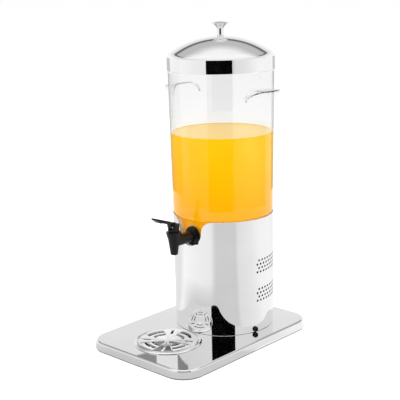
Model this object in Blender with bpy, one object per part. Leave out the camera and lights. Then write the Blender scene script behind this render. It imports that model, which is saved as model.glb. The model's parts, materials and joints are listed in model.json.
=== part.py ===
"""Chilled beverage dispenser: a clear container on a steel tower with a cooling unit, on a long tray.

Metres, +Z up. The origin is the centre of the tray's footprint, at the soles of the feet. The tap
faces -Y. Turned pieces of the tower share its vertical axis, which is TOWER_Y behind the origin.
"""

import math

import bmesh
import bpy
from mathutils import Matrix, Vector

GAP = 0.0003

# Tray
TRAY_WIDTH = 0.259
TRAY_LENGTH = 0.369
TRAY_CORNER = 0.0414
TRAY_FLARE = 0.0015
TRAY_TOP = 0.018
SKIRT_BOTTOM = 0.002
SHEET = 0.0012
COVER_Z = 0.0042
FOOT_X = 0.098
FOOT_Y = 0.150

# Drip cup and grille
WELL_Y = -0.0955
CUP_RIM_RADIUS = 0.064
CUP_RADIUS = 0.0580
WELL_RADIUS = 0.0584
GRILLE_RADIUS = 0.0568
GRILLE_TOP = TRAY_TOP + 0.0024
SLOT_WIDTH = 0.0045
SLOT_TURN = math.radians(33)

# Tower
TOWER_Y = 0.067
SHELL_RADIUS = 0.0975
SHELL_WALL = 0.001
SHELL_TOP = TRAY_TOP + 0.224
NOTCH_HALF = 0.027
NOTCH_CENTRE_Z = TRAY_TOP + 0.201
NOTCH_FLARE = 0.022
SHELL_INNER = SHELL_RADIUS - SHELL_WALL
DECK_TOP = 0.168
LINER_OUTER = SHELL_INNER - 0.0004
LINER_INNER = 0.0872
FAN_Z = 0.1027
FAN_HEIGHT = 0.025

# Vent holes: two patches, one above the other, on the tower's +X side
VENT_PITCH = math.radians(5.2)
VENT_FIRST = math.radians(82.5)
VENT_ROW = 0.0076
VENT_ROWS = 4
VENT_COLUMNS = 9
VENT_RADIUS = 0.0023
VENT_TOPS = (TRAY_TOP + 0.142, TRAY_TOP + 0.0848)

# Container
CONTAINER_BOTTOM = 0.173
CONTAINER_TOP = 0.524
CONTAINER_WALL = 0.003
PLUG_RADIUS = 0.0864
SHOULDER_RADIUS = 0.0971
SHOULDER_Z = 0.246
MOUTH_RADIUS = 0.1008
GRIP_REACH = 0.024
GRIP_HALF_ANGLE = math.radians(23.5)
GRIP_LOW = TRAY_TOP + 0.448
GRIP_RISE = 0.0193
GRIP_THICKNESS = 0.0022

# Tap: the spout's axis is vertical, the shank's is along Y
TAP_Z = TRAY_TOP + 0.1915
SPOUT_Y = TOWER_Y - 0.139
SPOUT_BOTTOM = TRAY_TOP + 0.1665
COLLAR_TOP = TRAY_TOP + 0.2105
BOSS_FACE_Y = TOWER_Y - 0.085
BONNET_TOP = TRAY_TOP + 0.226
SLOT_FLOOR = TRAY_TOP + 0.215
LEVER_PIN_Y = SPOUT_Y - 0.0085
LEVER_PIN_Z = TRAY_TOP + 0.2215
LEVER_SLOPE = math.radians(19)
STEM_BAR_Z = LEVER_PIN_Z + 0.0005

# Lid
LID_RADIUS = 0.1022
LID_SHEET = 0.0009
LID_BOTTOM = TRAY_TOP + 0.4995
LID_RING_Z = TRAY_TOP + 0.5246
DOME_RADIUS = 0.178
DOME_EDGE = 0.0955
DOME_TOP = TRAY_TOP + 0.5621
DOME_SHOULDER = 0.0144
SHOULDER_SLOPE = math.radians(70)
KNOB_TOP = TRAY_TOP + 0.5885


# Shared helpers


def clear_scene():
    for obj in list(bpy.data.objects):
        bpy.data.objects.remove(obj)


def material(name, colour, roughness, metallic=0.0, alpha=1.0):
    made = bpy.data.materials.new(name)
    made.use_nodes = True
    shader = made.node_tree.nodes["Principled BSDF"]
    shader.inputs["Base Color"].default_value = (*colour, 1.0)
    shader.inputs["Roughness"].default_value = roughness
    shader.inputs["Metallic"].default_value = metallic
    shader.inputs["Alpha"].default_value = alpha
    return made


def make(name, bm, finish=None, at=(0, 0, 0)):
    """An object from a bmesh, shaded smooth where its faces meet at a shallow angle."""
    bmesh.ops.recalc_face_normals(bm, faces=bm.faces)
    mesh = bpy.data.meshes.new(name)
    bm.to_mesh(mesh)
    bm.free()
    mesh.shade_smooth()
    mesh.set_sharp_from_angle(angle=math.radians(30))
    if finish:
        mesh.materials.append(finish)
    obj = bpy.data.objects.new(name, mesh)
    obj.location = at
    bpy.context.scene.collection.objects.link(obj)
    return obj


def helper(name, bm, at=(0, 0, 0)):
    """A solid that only shapes another one: it isn't part of the object."""
    tool = make(name, bm, at=at)
    tool.hide_render = True
    tool.display_type = "WIRE"
    return tool


def combine(target, tool, operation="DIFFERENCE"):
    modifier = target.modifiers.new(tool.name, "BOOLEAN")
    modifier.operation = operation
    modifier.object = tool
    modifier.solver = "EXACT"


def skin(bm, rings, closed):
    """Faces between rings of vertices. A ring of one vertex is a point on the axis."""
    pairs = list(zip(rings, rings[1:]))
    if closed:
        pairs.append((rings[-1], rings[0]))
    for first, second in pairs:
        count = max(len(first), len(second))
        for i in range(count if len(first) + len(second) > 2 else 0):
            corners = [first[i % len(first)], first[(i + 1) % len(first)]]
            corners += [second[(i + 1) % len(second)], second[i % len(second)]]
            bm.faces.new(list(dict.fromkeys(corners)))


def lathe(profile, segments):
    """A body turned about Z from a closed loop of (radius, height) points."""
    bm = bmesh.new()
    rings = []
    for radius, height in profile:
        count = segments if radius > 0 else 1
        turns = [2 * math.pi * i / segments for i in range(count)]
        rings.append([bm.verts.new((radius * math.cos(t), radius * math.sin(t), height)) for t in turns])
    skin(bm, rings, closed=True)
    return bm


def loft(rings, capped=True):
    """A body from rings of points. Without caps the last ring joins the first."""
    bm = bmesh.new()
    made = [[bm.verts.new(point) for point in ring] for ring in rings]
    skin(bm, made, closed=not capped)
    if capped:
        bm.faces.new(made[0])
        bm.faces.new(made[-1])
    return bm


def prism(outline, low, high, axis="Z"):
    """A flat outline pushed along an axis. Its two numbers are the other axes, in X, Y, Z order."""
    place = {
        "X": lambda a, b, h: (h, a, b),
        "Y": lambda a, b, h: (a, h, b),
        "Z": lambda a, b, h: (a, b, h),
    }[axis]
    return loft([[place(a, b, h) for a, b in outline] for h in (low, high)])


def arc(centre, radius, start, end, steps):
    """Points on an arc from start to end, in degrees."""
    turns = [math.radians(start + (end - start) * i / steps) for i in range(steps + 1)]
    return [(centre[0] + radius * math.cos(t), centre[1] + radius * math.sin(t)) for t in turns]


def round_rectangle(width, length, corner, steps=6):
    points = []
    for turn, (sx, sy) in enumerate(((1, 1), (-1, 1), (-1, -1), (1, -1))):
        centre = (sx * (width / 2 - corner), sy * (length / 2 - corner))
        points += arc(centre, corner, 90 * turn, 90 * turn + 90, steps)
    return points


def add_cylinder(bm, radius, depth, matrix, segments, top_radius=None):
    bmesh.ops.create_cone(
        bm,
        cap_ends=True,
        segments=segments,
        radius1=radius,
        radius2=radius if top_radius is None else top_radius,
        depth=depth,
        matrix=matrix,
    )


def cylinders(radius, low, high, places, segments=12):
    """Upright cylinders from low to high at each (x, y)."""
    bm = bmesh.new()
    for x, y in places:
        add_cylinder(bm, radius, high - low, Matrix.Translation((x, y, (low + high) / 2)), segments)
    return bm


def box(low, high):
    bm = bmesh.new()
    centre = (Vector(low) + Vector(high)) / 2
    size = Vector(high) - Vector(low)
    bmesh.ops.create_cube(bm, matrix=Matrix.LocRotScale(centre, None, size))
    return bm


def four_corners(x, y):
    return {
        "front_left": (-x, -y),
        "front_right": (x, -y),
        "rear_left": (-x, y),
        "rear_right": (x, y),
    }


# Tray


def tray_ring(offset, height):
    """The tray's outline, moved outwards by offset."""
    outline = round_rectangle(
        TRAY_WIDTH + 2 * offset,
        TRAY_LENGTH + 2 * offset,
        TRAY_CORNER + offset,
    )
    return [(x, y, height) for x, y in outline]


def tray_screw_places():
    reach = 0.0895 * math.sqrt(0.5)
    return [(x, TOWER_Y + y) for x, y in four_corners(reach, reach).values()]


def build_base_tray(steel):
    """A pressed sheet: flat top, rounded edge and a skirt that flares a little towards the bottom."""
    edge = 0.004
    outer = [
        tray_ring(-edge, TRAY_TOP),
        tray_ring(-edge * 0.29, TRAY_TOP - edge * 0.29),
        tray_ring(0, TRAY_TOP - edge),
        tray_ring(TRAY_FLARE, SKIRT_BOTTOM),
    ]
    inner = [
        tray_ring(TRAY_FLARE - SHEET, SKIRT_BOTTOM),
        tray_ring(-SHEET, TRAY_TOP - edge),
        tray_ring(-edge, TRAY_TOP - SHEET),
    ]
    tray = make("base_tray", loft(outer + inner), steel)
    low, high = TRAY_TOP - 0.004, TRAY_TOP + 0.002
    combine(tray, helper("well_cut", cylinders(WELL_RADIUS, low, high, [(0, WELL_Y)], 48)))
    combine(tray, helper("wiring_cut", cylinders(0.040, low, high, [(0, TOWER_Y)], 24)))
    combine(tray, helper("tray_screw_cut", cylinders(0.0023, low, high, tray_screw_places(), 8)))


def build_bottom_cover(zinc):
    outline = round_rectangle(TRAY_WIDTH - 0.006, TRAY_LENGTH - 0.006, TRAY_CORNER - 0.003, 4)
    cover = make("bottom_cover", prism(outline, COVER_Z, COVER_Z + SHEET), zinc)
    holes = cylinders(0.0024, 0, 0.01, four_corners(FOOT_X, FOOT_Y).values(), 8)
    combine(cover, helper("cover_screw_cut", holes))
    slots = bmesh.new()
    for i in range(6):
        place = Matrix.Translation((0, TOWER_Y + 0.012 * (i - 2.5), COVER_Z))
        bmesh.ops.create_cube(slots, matrix=place @ Matrix.Diagonal((0.07, 0.004, 0.01, 1)))
    combine(cover, helper("air_slot_cut", slots))


def build_feet(rubber, plain_steel, brass):
    """Each foot is a rubber pad on a screw, which goes through the cover into a post under the tray."""
    pad = [(0.0046, 0), (0.0105, 0), (0.012, 0.0025), (0.012, COVER_Z - GAP), (0.0022, COVER_Z - GAP)]
    pad += [(0.0022, 0.0028), (0.0046, 0.0028)]
    post_low, post_high = COVER_Z + SHEET + GAP, TRAY_TOP - SHEET - GAP
    screw = [(0, 0.0008), (0.0040, 0.0008), (0.0043, 0.0026)]
    screw += [(0.0019, 0.0026), (0.0019, 0.0120), (0, 0.0120)]
    post = [(0.0022, post_low), (0.0045, post_low), (0.0045, post_high), (0.0022, post_high)]
    for corner, (x, y) in four_corners(FOOT_X, FOOT_Y).items():
        make("foot_" + corner, lathe(pad, 12), rubber, (x, y, 0))
        make("foot_screw_" + corner, lathe(screw, 10), plain_steel, (x, y, 0))
        make("tray_post_" + corner, lathe(post, 10), brass, (x, y, 0))


def build_drip_cup(steel):
    """A shallow cup let into the tray, with a raised rim that lies on the tray's top."""
    floor, lip = 0.0066, TRAY_TOP + GAP
    inner = CUP_RADIUS - 0.0009
    profile = [
        (0, floor),
        (CUP_RADIUS - 0.003, floor),
        (CUP_RADIUS, floor + 0.003),
        (CUP_RADIUS, lip),
        (CUP_RIM_RADIUS, lip),
        (CUP_RIM_RADIUS, lip + 0.0010),
        (CUP_RIM_RADIUS - 0.0014, lip + 0.0024),
        (CUP_RIM_RADIUS - 0.0036, lip + 0.0024),
        (inner, lip + 0.0008),
        (inner, floor + 0.0042),
        (inner - 0.0022, floor + 0.0009),
        (0, floor + 0.0009),
    ]
    make("drip_cup", lathe(profile, 44), steel, (0, WELL_Y, 0))


def curved_slot(bm, radius, middle, half_span, depth):
    """A slot along an arc, with round ends."""
    steps = 6
    outline = []
    for i in range(steps + 1):
        turn = middle - half_span + 2 * half_span * i / steps
        outline.append((radius + SLOT_WIDTH / 2, turn))
    for i in range(steps + 1):
        turn = middle + half_span - 2 * half_span * i / steps
        outline.append((radius - SLOT_WIDTH / 2, turn))
    flat = [(r * math.cos(t), r * math.sin(t)) for r, t in outline]
    rings = [[bm.verts.new((x, y, h)) for x, y in flat] for h in (-depth, depth)]
    skin(bm, rings, closed=False)
    bm.faces.new(rings[0])
    bm.faces.new(rings[1])


def build_drip_grille(steel):
    """A round slotted plate with a turned-down edge, on four short legs. Two rings of curved slots lie
    between four straight ones."""
    edge = 0.0008
    profile = [
        (0, GRILLE_TOP - SHEET),
        (GRILLE_RADIUS - SHEET - edge, GRILLE_TOP - SHEET),
        (GRILLE_RADIUS - SHEET, GRILLE_TOP - SHEET - edge),
        (GRILLE_RADIUS - SHEET, TRAY_TOP - 0.003),
        (GRILLE_RADIUS, TRAY_TOP - 0.003),
        (GRILLE_RADIUS, GRILLE_TOP - edge),
        (GRILLE_RADIUS - edge, GRILLE_TOP),
        (0, GRILLE_TOP),
    ]
    grille = make("drip_grille", lathe(profile, 48), steel, (0, WELL_Y, 0))
    slots = bmesh.new()
    for quarter in range(4):
        straight = SLOT_TURN - math.pi / 2 + quarter * math.pi / 2
        curved = straight + math.pi / 4
        for radius, half_span in ((0.0433, 0.39), (0.0293, 0.39)):
            curved_slot(slots, radius, curved, half_span, 0.004)
        place = Matrix.Rotation(straight, 4, "Z") @ Matrix.Translation((0.0400, 0, 0))
        bmesh.ops.create_cube(slots, matrix=place @ Matrix.Diagonal((0.0160, SLOT_WIDTH, 0.008, 1)))
    combine(grille, helper("grille_slot_cut", slots, (0, WELL_Y, GRILLE_TOP)))

    foot, head = 0.0078, GRILLE_TOP - SHEET - GAP
    leg = [(0, foot), (0.0024, foot), (0.0030, foot + 0.0006), (0.0030, head), (0, head)]
    corners = ("rear_right", "rear_left", "front_left", "front_right")
    turn = math.degrees(SLOT_TURN)
    for corner, (x, y) in zip(corners, arc((0, WELL_Y), 0.052, turn, turn + 270, 3)):
        make("grille_leg_" + corner, lathe(leg, 12), steel, (x, y, 0))


# Tower


def notch_outline():
    """A U that is open at the top, whose upper corners flare outwards. Numbers are x and z."""
    top = SHELL_TOP + 0.02
    right = [(NOTCH_HALF + NOTCH_FLARE, top)]
    right += arc((NOTCH_HALF + NOTCH_FLARE, SHELL_TOP - NOTCH_FLARE), NOTCH_FLARE, 90, 180, 5)
    bottom = arc((0, NOTCH_CENTRE_Z), NOTCH_HALF, 0, -180, 12)
    left = [(-x, z) for x, z in reversed(right)]
    return right + bottom + left


def notch_cut(name):
    return helper(name, prism(notch_outline(), -0.12, -0.05, "Y"), (0, TOWER_Y, 0))


def radial_place(turn, height):
    """The frame of something on the shell: +Z points out of it. The turn is from -Y towards +X."""
    out = Vector((math.sin(turn), -math.cos(turn), 0))
    aim = out.to_track_quat("Z", "Y").to_matrix().to_4x4()
    return Matrix.Translation(Vector((0, TOWER_Y, height)) + out * SHELL_RADIUS) @ aim


def vent_holes():
    """Radial hexagonal cutters in staggered rows."""
    bm = bmesh.new()
    for top in VENT_TOPS:
        for row in range(VENT_ROWS):
            first = VENT_FIRST + (VENT_PITCH / 2 if row % 2 == 0 else 0)
            for column in range(VENT_COLUMNS):
                place = radial_place(first + column * VENT_PITCH, top - row * VENT_ROW)
                add_cylinder(bm, VENT_RADIUS, 0.006, place, 6)
    return bm


GLAND_PLACE = radial_place(math.radians(78.6), TRAY_TOP + 0.0060)
SWITCH_Z = TRAY_TOP + 0.050


def build_tower_shell(steel):
    bottom = TRAY_TOP + GAP
    lip = 0.0006
    profile = [
        (SHELL_INNER, bottom),
        (SHELL_RADIUS, bottom),
        (SHELL_RADIUS, SHELL_TOP - lip),
        (SHELL_RADIUS - SHELL_WALL / 2, SHELL_TOP),
        (SHELL_INNER, SHELL_TOP - lip),
    ]
    shell = make("tower_shell", lathe(profile, 60), steel, (0, TOWER_Y, 0))
    combine(shell, notch_cut("shell_notch_cut"))
    combine(shell, helper("vent_cut", vent_holes()))
    bm = bmesh.new()
    add_cylinder(bm, 0.0042, 0.01, GLAND_PLACE, 12)
    combine(shell, helper("gland_cut", bm))
    low = (-0.0068, TOWER_Y + SHELL_RADIUS - 0.006, SWITCH_Z - 0.0098)
    high = (0.0068, TOWER_Y + SHELL_RADIUS + 0.004, SWITCH_Z + 0.0098)
    combine(shell, helper("switch_cut", box(low, high)))


def build_base_ring(zinc):
    """An angle ring inside the shell's foot, screwed down to the tray."""
    low = TRAY_TOP + GAP
    outer = SHELL_INNER - 0.0004
    profile = [(0.082, low), (outer, low), (outer, low + 0.014), (outer - 0.0025, low + 0.014)]
    profile += [(outer - 0.0025, low + 0.0025), (0.082, low + 0.0025)]
    ring = make("tower_base_ring", lathe(profile, 28), zinc, (0, TOWER_Y, 0))
    screw_ways = cylinders(0.0023, low - 0.01, low + 0.01, tray_screw_places(), 8)
    combine(ring, helper("ring_screw_cut", screw_ways))
    bm = bmesh.new()
    add_cylinder(bm, 0.0052, 0.016, GLAND_PLACE, 12)
    combine(ring, helper("ring_gland_cut", bm))


def build_tower_screws(steel):
    head = TRAY_TOP - SHEET - GAP
    profile = [(0, head - 0.0024), (0.0034, head - 0.0024), (0.0040, head - 0.0008), (0.0040, head)]
    profile += [(0.0019, head), (0.0019, head + 0.007), (0, head + 0.007)]
    names = four_corners(0, 0)
    for corner, (x, y) in zip(names, tray_screw_places()):
        make("tower_screw_" + corner, lathe(profile, 10), steel, (x, y, 0))


def build_deck(zinc):
    """A disc with a turned-down rim, which carries the cooling unit and the container."""
    profile = [
        (0.028, DECK_TOP - 0.002),
        (LINER_OUTER - 0.002, DECK_TOP - 0.002),
        (LINER_OUTER - 0.002, DECK_TOP - 0.012),
        (LINER_OUTER, DECK_TOP - 0.012),
        (LINER_OUTER, DECK_TOP),
        (0.028, DECK_TOP),
    ]
    make("deck_plate", lathe(profile, 36), zinc, (0, TOWER_Y, 0))


def build_liner(foam):
    """The thick insulating sleeve that the container's lower end drops into."""
    low, high = DECK_TOP + GAP, SHELL_TOP - 0.0015
    profile = [
        (LINER_INNER, low),
        (LINER_OUTER, low),
        (LINER_OUTER, high),
        (LINER_OUTER - 0.0015, high),
        (LINER_INNER, high - 0.0075),
    ]
    liner = make("insulation_liner", lathe(profile, 44), foam, (0, TOWER_Y, 0))
    combine(liner, notch_cut("liner_notch_cut"))
    flange = bmesh.new()
    add_cylinder(flange, 0.0192, 0.07, Matrix.Rotation(math.radians(90), 4, "X"), 24)
    combine(liner, helper("liner_flange_cut", flange, (0, TOWER_Y - 0.085, TAP_Z)))


def build_cooling_unit(aluminium, ceramic, black):
    plate_low, plate_top = DECK_TOP + GAP, CONTAINER_BOTTOM - GAP
    plate = [(0, plate_low), (0.070, plate_low), (0.070, plate_top), (0, plate_top)]
    make("cold_plate", lathe(plate, 28), aluminium, (0, TOWER_Y, 0))

    half, tile_low = 0.018, DECK_TOP - 0.0040
    tile = box((-half, TOWER_Y - half, tile_low), (half, TOWER_Y + half, DECK_TOP))
    make("thermoelectric_tile", tile, ceramic)

    half, fins, fin = 0.050, 9, 0.002
    top, base, tip = tile_low - GAP, tile_low - GAP - 0.005, FAN_Z + FAN_HEIGHT + GAP
    outline = [(half, base), (half, top), (-half, top), (-half, base)]
    pitch = (2 * half - fin) / (fins - 1)
    for i in range(fins):
        left = -half + i * pitch
        right = left + fin
        outline += [(left, base)] if i else []
        outline += [(left, tip), (right, tip)]
        outline += [(right, base)] if i < fins - 1 else []
    make("heat_sink", prism(outline, -half, half, "Y"), aluminium, (0, TOWER_Y, 0))

    corner = round_rectangle(0.092, 0.092, 0.005, 2)
    frame = make("fan_frame", prism(corner, FAN_Z, FAN_Z + FAN_HEIGHT), black, (0, TOWER_Y, 0))
    duct = cylinders(0.043, FAN_Z - 0.002, FAN_Z + FAN_HEIGHT + 0.002, [(0, 0)], 32)
    combine(frame, helper("fan_duct_cut", duct, (0, TOWER_Y, 0)))
    spokes = bmesh.new()
    for i in range(3):
        turn = Matrix.Rotation(math.radians(90 + 120 * i), 4, "Z")
        place = turn @ Matrix.Translation((0.029, 0, FAN_Z + 0.0015))
        bmesh.ops.create_cube(spokes, matrix=place @ Matrix.Diagonal((0.032, 0.004, 0.003, 1)))
    combine(frame, helper("fan_spoke_add", spokes, (0, TOWER_Y, 0)), "UNION")
    mount = cylinders(0.016, FAN_Z, FAN_Z + 0.003, [(0, 0)], 16)
    combine(frame, helper("fan_motor_mount_add", mount, (0, TOWER_Y, 0)), "UNION")


def build_fan_rotor(black):
    """A hub with twisted blades. Its origin is on its own axis."""
    low = FAN_Z + 0.0036
    hub = [(0, low), (0.016, low), (0.016, low + 0.016), (0.0145, low + 0.0175), (0, low + 0.0175)]
    rotor = make("fan_rotor", lathe(hub, 21), black, (0, TOWER_Y, 0))
    blades = bmesh.new()
    for i in range(7):
        turn = Matrix.Rotation(2 * math.pi * i / 7, 4, "Z")
        rings = []
        for radius, pitch, chord in ((0.0145, 42, 0.016), (0.0405, 26, 0.024)):
            tilt = math.radians(pitch)
            along = Vector((0, math.cos(tilt), math.sin(tilt))) * chord / 2
            across = Vector((0, -math.sin(tilt), math.cos(tilt))) * 0.0006
            middle = Vector((radius, 0, low + 0.0085))
            corners = [middle - along - across, middle + along - across, middle + along + across]
            corners.append(middle - along + across)
            rings.append([blades.verts.new(turn @ corner) for corner in corners])
        skin(blades, rings, closed=False)
        blades.faces.new(rings[0])
        blades.faces.new(rings[1])
    combine(rotor, helper("fan_blade_add", blades, (0, TOWER_Y, 0)), "UNION")


def build_electrics(zinc, black):
    outline = round_rectangle(0.096, 0.050, 0.003, 1)
    supply = make("power_supply", prism(outline, TRAY_TOP + GAP, 0.062), zinc, (0, TOWER_Y + 0.030, 0))
    slots = bmesh.new()
    for i in range(7):
        place = Matrix.Translation((0.010 * (i - 3), 0.030, 0.062))
        bmesh.ops.create_cube(slots, matrix=place @ Matrix.Diagonal((0.003, 0.030, 0.004, 1)))
    combine(supply, helper("supply_slot_cut", slots, (0, TOWER_Y, 0)))

    gland = [(0.0023, -0.004), (0.0038, -0.004), (0.0038, GAP), (0.0054, GAP), (0.0050, 0.0030)]
    gland += [(0.0036, 0.0046), (0.0023, 0.0046)]
    bushing = make("cord_gland", lathe(gland, 14), black)
    bushing.matrix_world = GLAND_PLACE

    face = TOWER_Y + SHELL_RADIUS
    frame_low = (-0.0083, face + GAP, SWITCH_Z - 0.0115)
    frame_high = (0.0083, face + 0.0020, SWITCH_Z + 0.0115)
    bezel = make("switch_bezel", box(frame_low, frame_high), black)
    body = box((-0.0064, face - 0.012, SWITCH_Z - 0.0094), (0.0064, face + 0.001, SWITCH_Z + 0.0094))
    combine(bezel, helper("switch_body_add", body), "UNION")
    well = box((-0.0052, face - 0.0085, SWITCH_Z - 0.0082), (0.0052, face + 0.004, SWITCH_Z + 0.0082))
    combine(bezel, helper("switch_well_cut", well))

    rocker = [(-0.0070, 0.0010), (-0.0066, -0.0022), (0, -0.0030)]
    rocker += [(0.0066, -0.0022), (0.0070, 0.0044), (0, 0.0022)]
    tilted = [(y, z) for z, y in rocker]
    make("switch_rocker", prism(tilted, -0.0048, 0.0048, "X"), black, (0, face - 0.0005, SWITCH_Z))


# Container


def wall_radius(height):
    """The container's outer radius above its shoulder, where it widens steadily to the mouth."""
    share = (height - SHOULDER_Z) / (CONTAINER_TOP - SHOULDER_Z)
    return SHOULDER_RADIUS + (MOUTH_RADIUS - SHOULDER_RADIUS) * share


def shoulder_points(offset):
    """The S-shaped step between the lower end and the main wall, moved inwards by offset."""
    steps = 6
    low = SHELL_TOP - 0.010
    points = []
    for i in range(steps + 1):
        share = i / steps
        swell = (1 - math.cos(math.pi * share)) / 2
        radius = PLUG_RADIUS + (SHOULDER_RADIUS - PLUG_RADIUS) * swell
        points.append((radius - offset, low + (SHOULDER_Z - low) * share))
    return points


def build_container(clear):
    wall, floor = CONTAINER_WALL, 0.004
    plug_foot = PLUG_RADIUS - 0.0006
    outer = [(0, CONTAINER_BOTTOM), (plug_foot - 0.004, CONTAINER_BOTTOM)]
    outer += [(plug_foot, CONTAINER_BOTTOM + 0.004)] + shoulder_points(0)
    outer += [(MOUTH_RADIUS, CONTAINER_TOP), (MOUTH_RADIUS - wall, CONTAINER_TOP)]
    inner = list(reversed(shoulder_points(wall)))
    inner += [(plug_foot - wall, CONTAINER_BOTTOM + 0.008)]
    inner += [(plug_foot - wall - 0.004, CONTAINER_BOTTOM + floor), (0, CONTAINER_BOTTOM + floor)]
    container = make("container", lathe(outer + inner, 50), clear, (0, TOWER_Y, 0))

    boss = bmesh.new()
    face = BOSS_FACE_Y - TOWER_Y
    along_y = Matrix.Rotation(math.radians(90), 4, "X")
    add_cylinder(boss, 0.0205, 0.0065, Matrix.Translation((0, face + 0.0023, TAP_Z)) @ along_y, 32)
    combine(container, helper("tap_boss_add", boss, (0, TOWER_Y, 0)), "UNION")
    flat = bmesh.new()
    add_cylinder(flat, 0.0220, 0.010, Matrix.Translation((0, face - 0.005, TAP_Z)) @ along_y, 32)
    combine(container, helper("tap_seat_cut", flat, (0, TOWER_Y, 0)))
    hole = bmesh.new()
    add_cylinder(hole, 0.0084, 0.030, Matrix.Translation((0, face, TAP_Z)) @ along_y, 24)
    combine(container, helper("tap_hole_cut", hole, (0, TOWER_Y, 0)))


def grip_point(t, s, side):
    """A point on a lifting grip. t runs from end to end, -1 to 1, and s from wall to lip, 0 to 1."""
    height = GRIP_LOW + GRIP_RISE * max(0.0, 1 - abs(t) ** 4) ** 0.45
    reach = 0.0030 + (GRIP_REACH - 0.0030) * max(0.0, 1 - abs(t) ** 2.6) ** 0.5
    radius = wall_radius(height) + 0.0004 + s * reach
    turn = t * GRIP_HALF_ANGLE
    return (side * radius * math.cos(turn), radius * math.sin(turn), height - 0.0012 * s * s)


def build_grips(clear):
    """Hooded grips: a thin shelf that stands out from the wall, with both ends turned down."""
    across, out = 14, 3
    for name, side in (("grip_right", 1), ("grip_left", -1)):
        bm = bmesh.new()
        rows = []
        for j in range(out + 1):
            turns = [math.sin(math.pi * (i / across - 0.5)) for i in range(across + 1)]
            rows.append([bm.verts.new(grip_point(t, j / out, side)) for t in turns])
        for low, high in zip(rows, rows[1:]):
            for i in range(across):
                corners = [low[i], low[i + 1], high[i + 1], high[i]]
                bm.faces.new(corners if side < 0 else corners[::-1])
        grip = make(name, bm, clear, (0, TOWER_Y, 0))
        thick = grip.modifiers.new("thickness", "SOLIDIFY")
        thick.thickness = GRIP_THICKNESS
        thick.offset = -1
        thick.use_even_offset = False


# Tap


def along_y_lathe(profile, segments):
    """A body turned about Y from (radius, y) points."""
    bm = lathe(profile, segments)
    bmesh.ops.transform(bm, matrix=Matrix.Rotation(math.radians(-90), 4, "X"), verts=bm.verts)
    return bm


def build_tap_body(black):
    """The spout, shank and flange in one moulding, bored through to the seat of the valve."""
    low = SPOUT_BOTTOM
    spout = [
        (0, low),
        (0.0062, low),
        (0.0071, low + 0.0012),
        (0.0088, low + 0.0145),
        (0.0110, low + 0.0300),
        (0.0128, low + 0.0355),
        (0.0144, low + 0.0415),
        (0.0144, COLLAR_TOP - 0.0006),
        (0.0138, COLLAR_TOP),
        (0, COLLAR_TOP),
    ]
    body = make("tap_body", lathe(spout, 24), black, (0, SPOUT_Y, 0))
    flange_back = BOSS_FACE_Y - 0.0014
    shank = [
        (0, SPOUT_Y),
        (0.0108, SPOUT_Y),
        (0.0104, flange_back - 0.0058),
        (0.0118, flange_back - 0.0040),
        (0.0174, flange_back - 0.0040),
        (0.0184, flange_back - 0.0030),
        (0.0184, flange_back),
        (0.0080, flange_back),
        (0.0080, BOSS_FACE_Y + 0.0190),
        (0, BOSS_FACE_Y + 0.0190),
    ]
    combine(body, helper("tap_shank_add", along_y_lathe(shank, 24), (0, 0, TAP_Z)), "UNION")
    bore = [
        (0, low - 0.002),
        (0.0052, low - 0.002),
        (0.0052, low + 0.0150),
        (0.0074, low + 0.0165),
        (0.0074, COLLAR_TOP - 0.0050),
        (0.0106, COLLAR_TOP - 0.0050),
        (0.0106, COLLAR_TOP + 0.002),
        (0, COLLAR_TOP + 0.002),
    ]
    combine(body, helper("tap_bore_cut", lathe(bore, 20), (0, SPOUT_Y, 0)))
    feed_start, feed_end = SPOUT_Y + 0.002, BOSS_FACE_Y + 0.03
    feed = [(0, feed_start), (0.0050, feed_start), (0.0050, feed_end), (0, feed_end)]
    combine(body, helper("tap_feed_cut", along_y_lathe(feed, 16), (0, 0, TAP_Z)))


def build_tap_fixings(rubber, black):
    """Outer gasket, inner gasket and backing nut, from the tap's flange inwards."""
    face = BOSS_FACE_Y
    inside = face + 0.00555
    low, high = face - 0.0011, face - GAP
    outer = [(0.0086, low), (0.0170, low), (0.0170, high), (0.0086, high)]
    make("tap_gasket_outer", along_y_lathe(outer, 20), rubber, (0, 0, TAP_Z))
    low, high = inside + GAP, inside + 0.0015
    inner = [(0.0086, low), (0.0150, low), (0.0150, high), (0.0086, high)]
    make("tap_gasket_inner", along_y_lathe(inner, 20), rubber, (0, 0, TAP_Z))
    low, high = high + GAP, high + 0.0075
    nut = [(0.0083, low), (0.0160, low), (0.0160, high), (0.0083, high)]
    make("tap_nut", along_y_lathe(nut, 6 * 3), black, (0, 0, TAP_Z))


def build_tap_bonnet(black):
    """A screwed cap with a slot across its top for the lever. Its top falls away behind the pin."""
    foot, shoulder = COLLAR_TOP - 0.0046, COLLAR_TOP + GAP
    profile = [
        (0.0023, foot),
        (0.0100, foot),
        (0.0100, shoulder),
        (0.0102, shoulder + 0.0010),
        (0.0115, BONNET_TOP - 0.0030),
        (0.0108, BONNET_TOP),
        (0.0023, BONNET_TOP),
    ]
    bonnet = make("tap_bonnet", lathe(profile, 28), black, (0, SPOUT_Y, 0))
    slot = box((-0.0046, -0.02, SLOT_FLOOR), (0.0046, 0.02, BONNET_TOP + 0.01))
    combine(bonnet, helper("lever_slot_cut", slot, (0, SPOUT_Y, 0)))
    pin = bmesh.new()
    at_pin = Matrix.Translation((0, LEVER_PIN_Y, LEVER_PIN_Z))
    across = at_pin @ Matrix.Rotation(math.radians(90), 4, "Y")
    add_cylinder(pin, 0.0018, 0.03, across, 12)
    combine(bonnet, helper("bonnet_pin_cut", pin))


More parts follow.
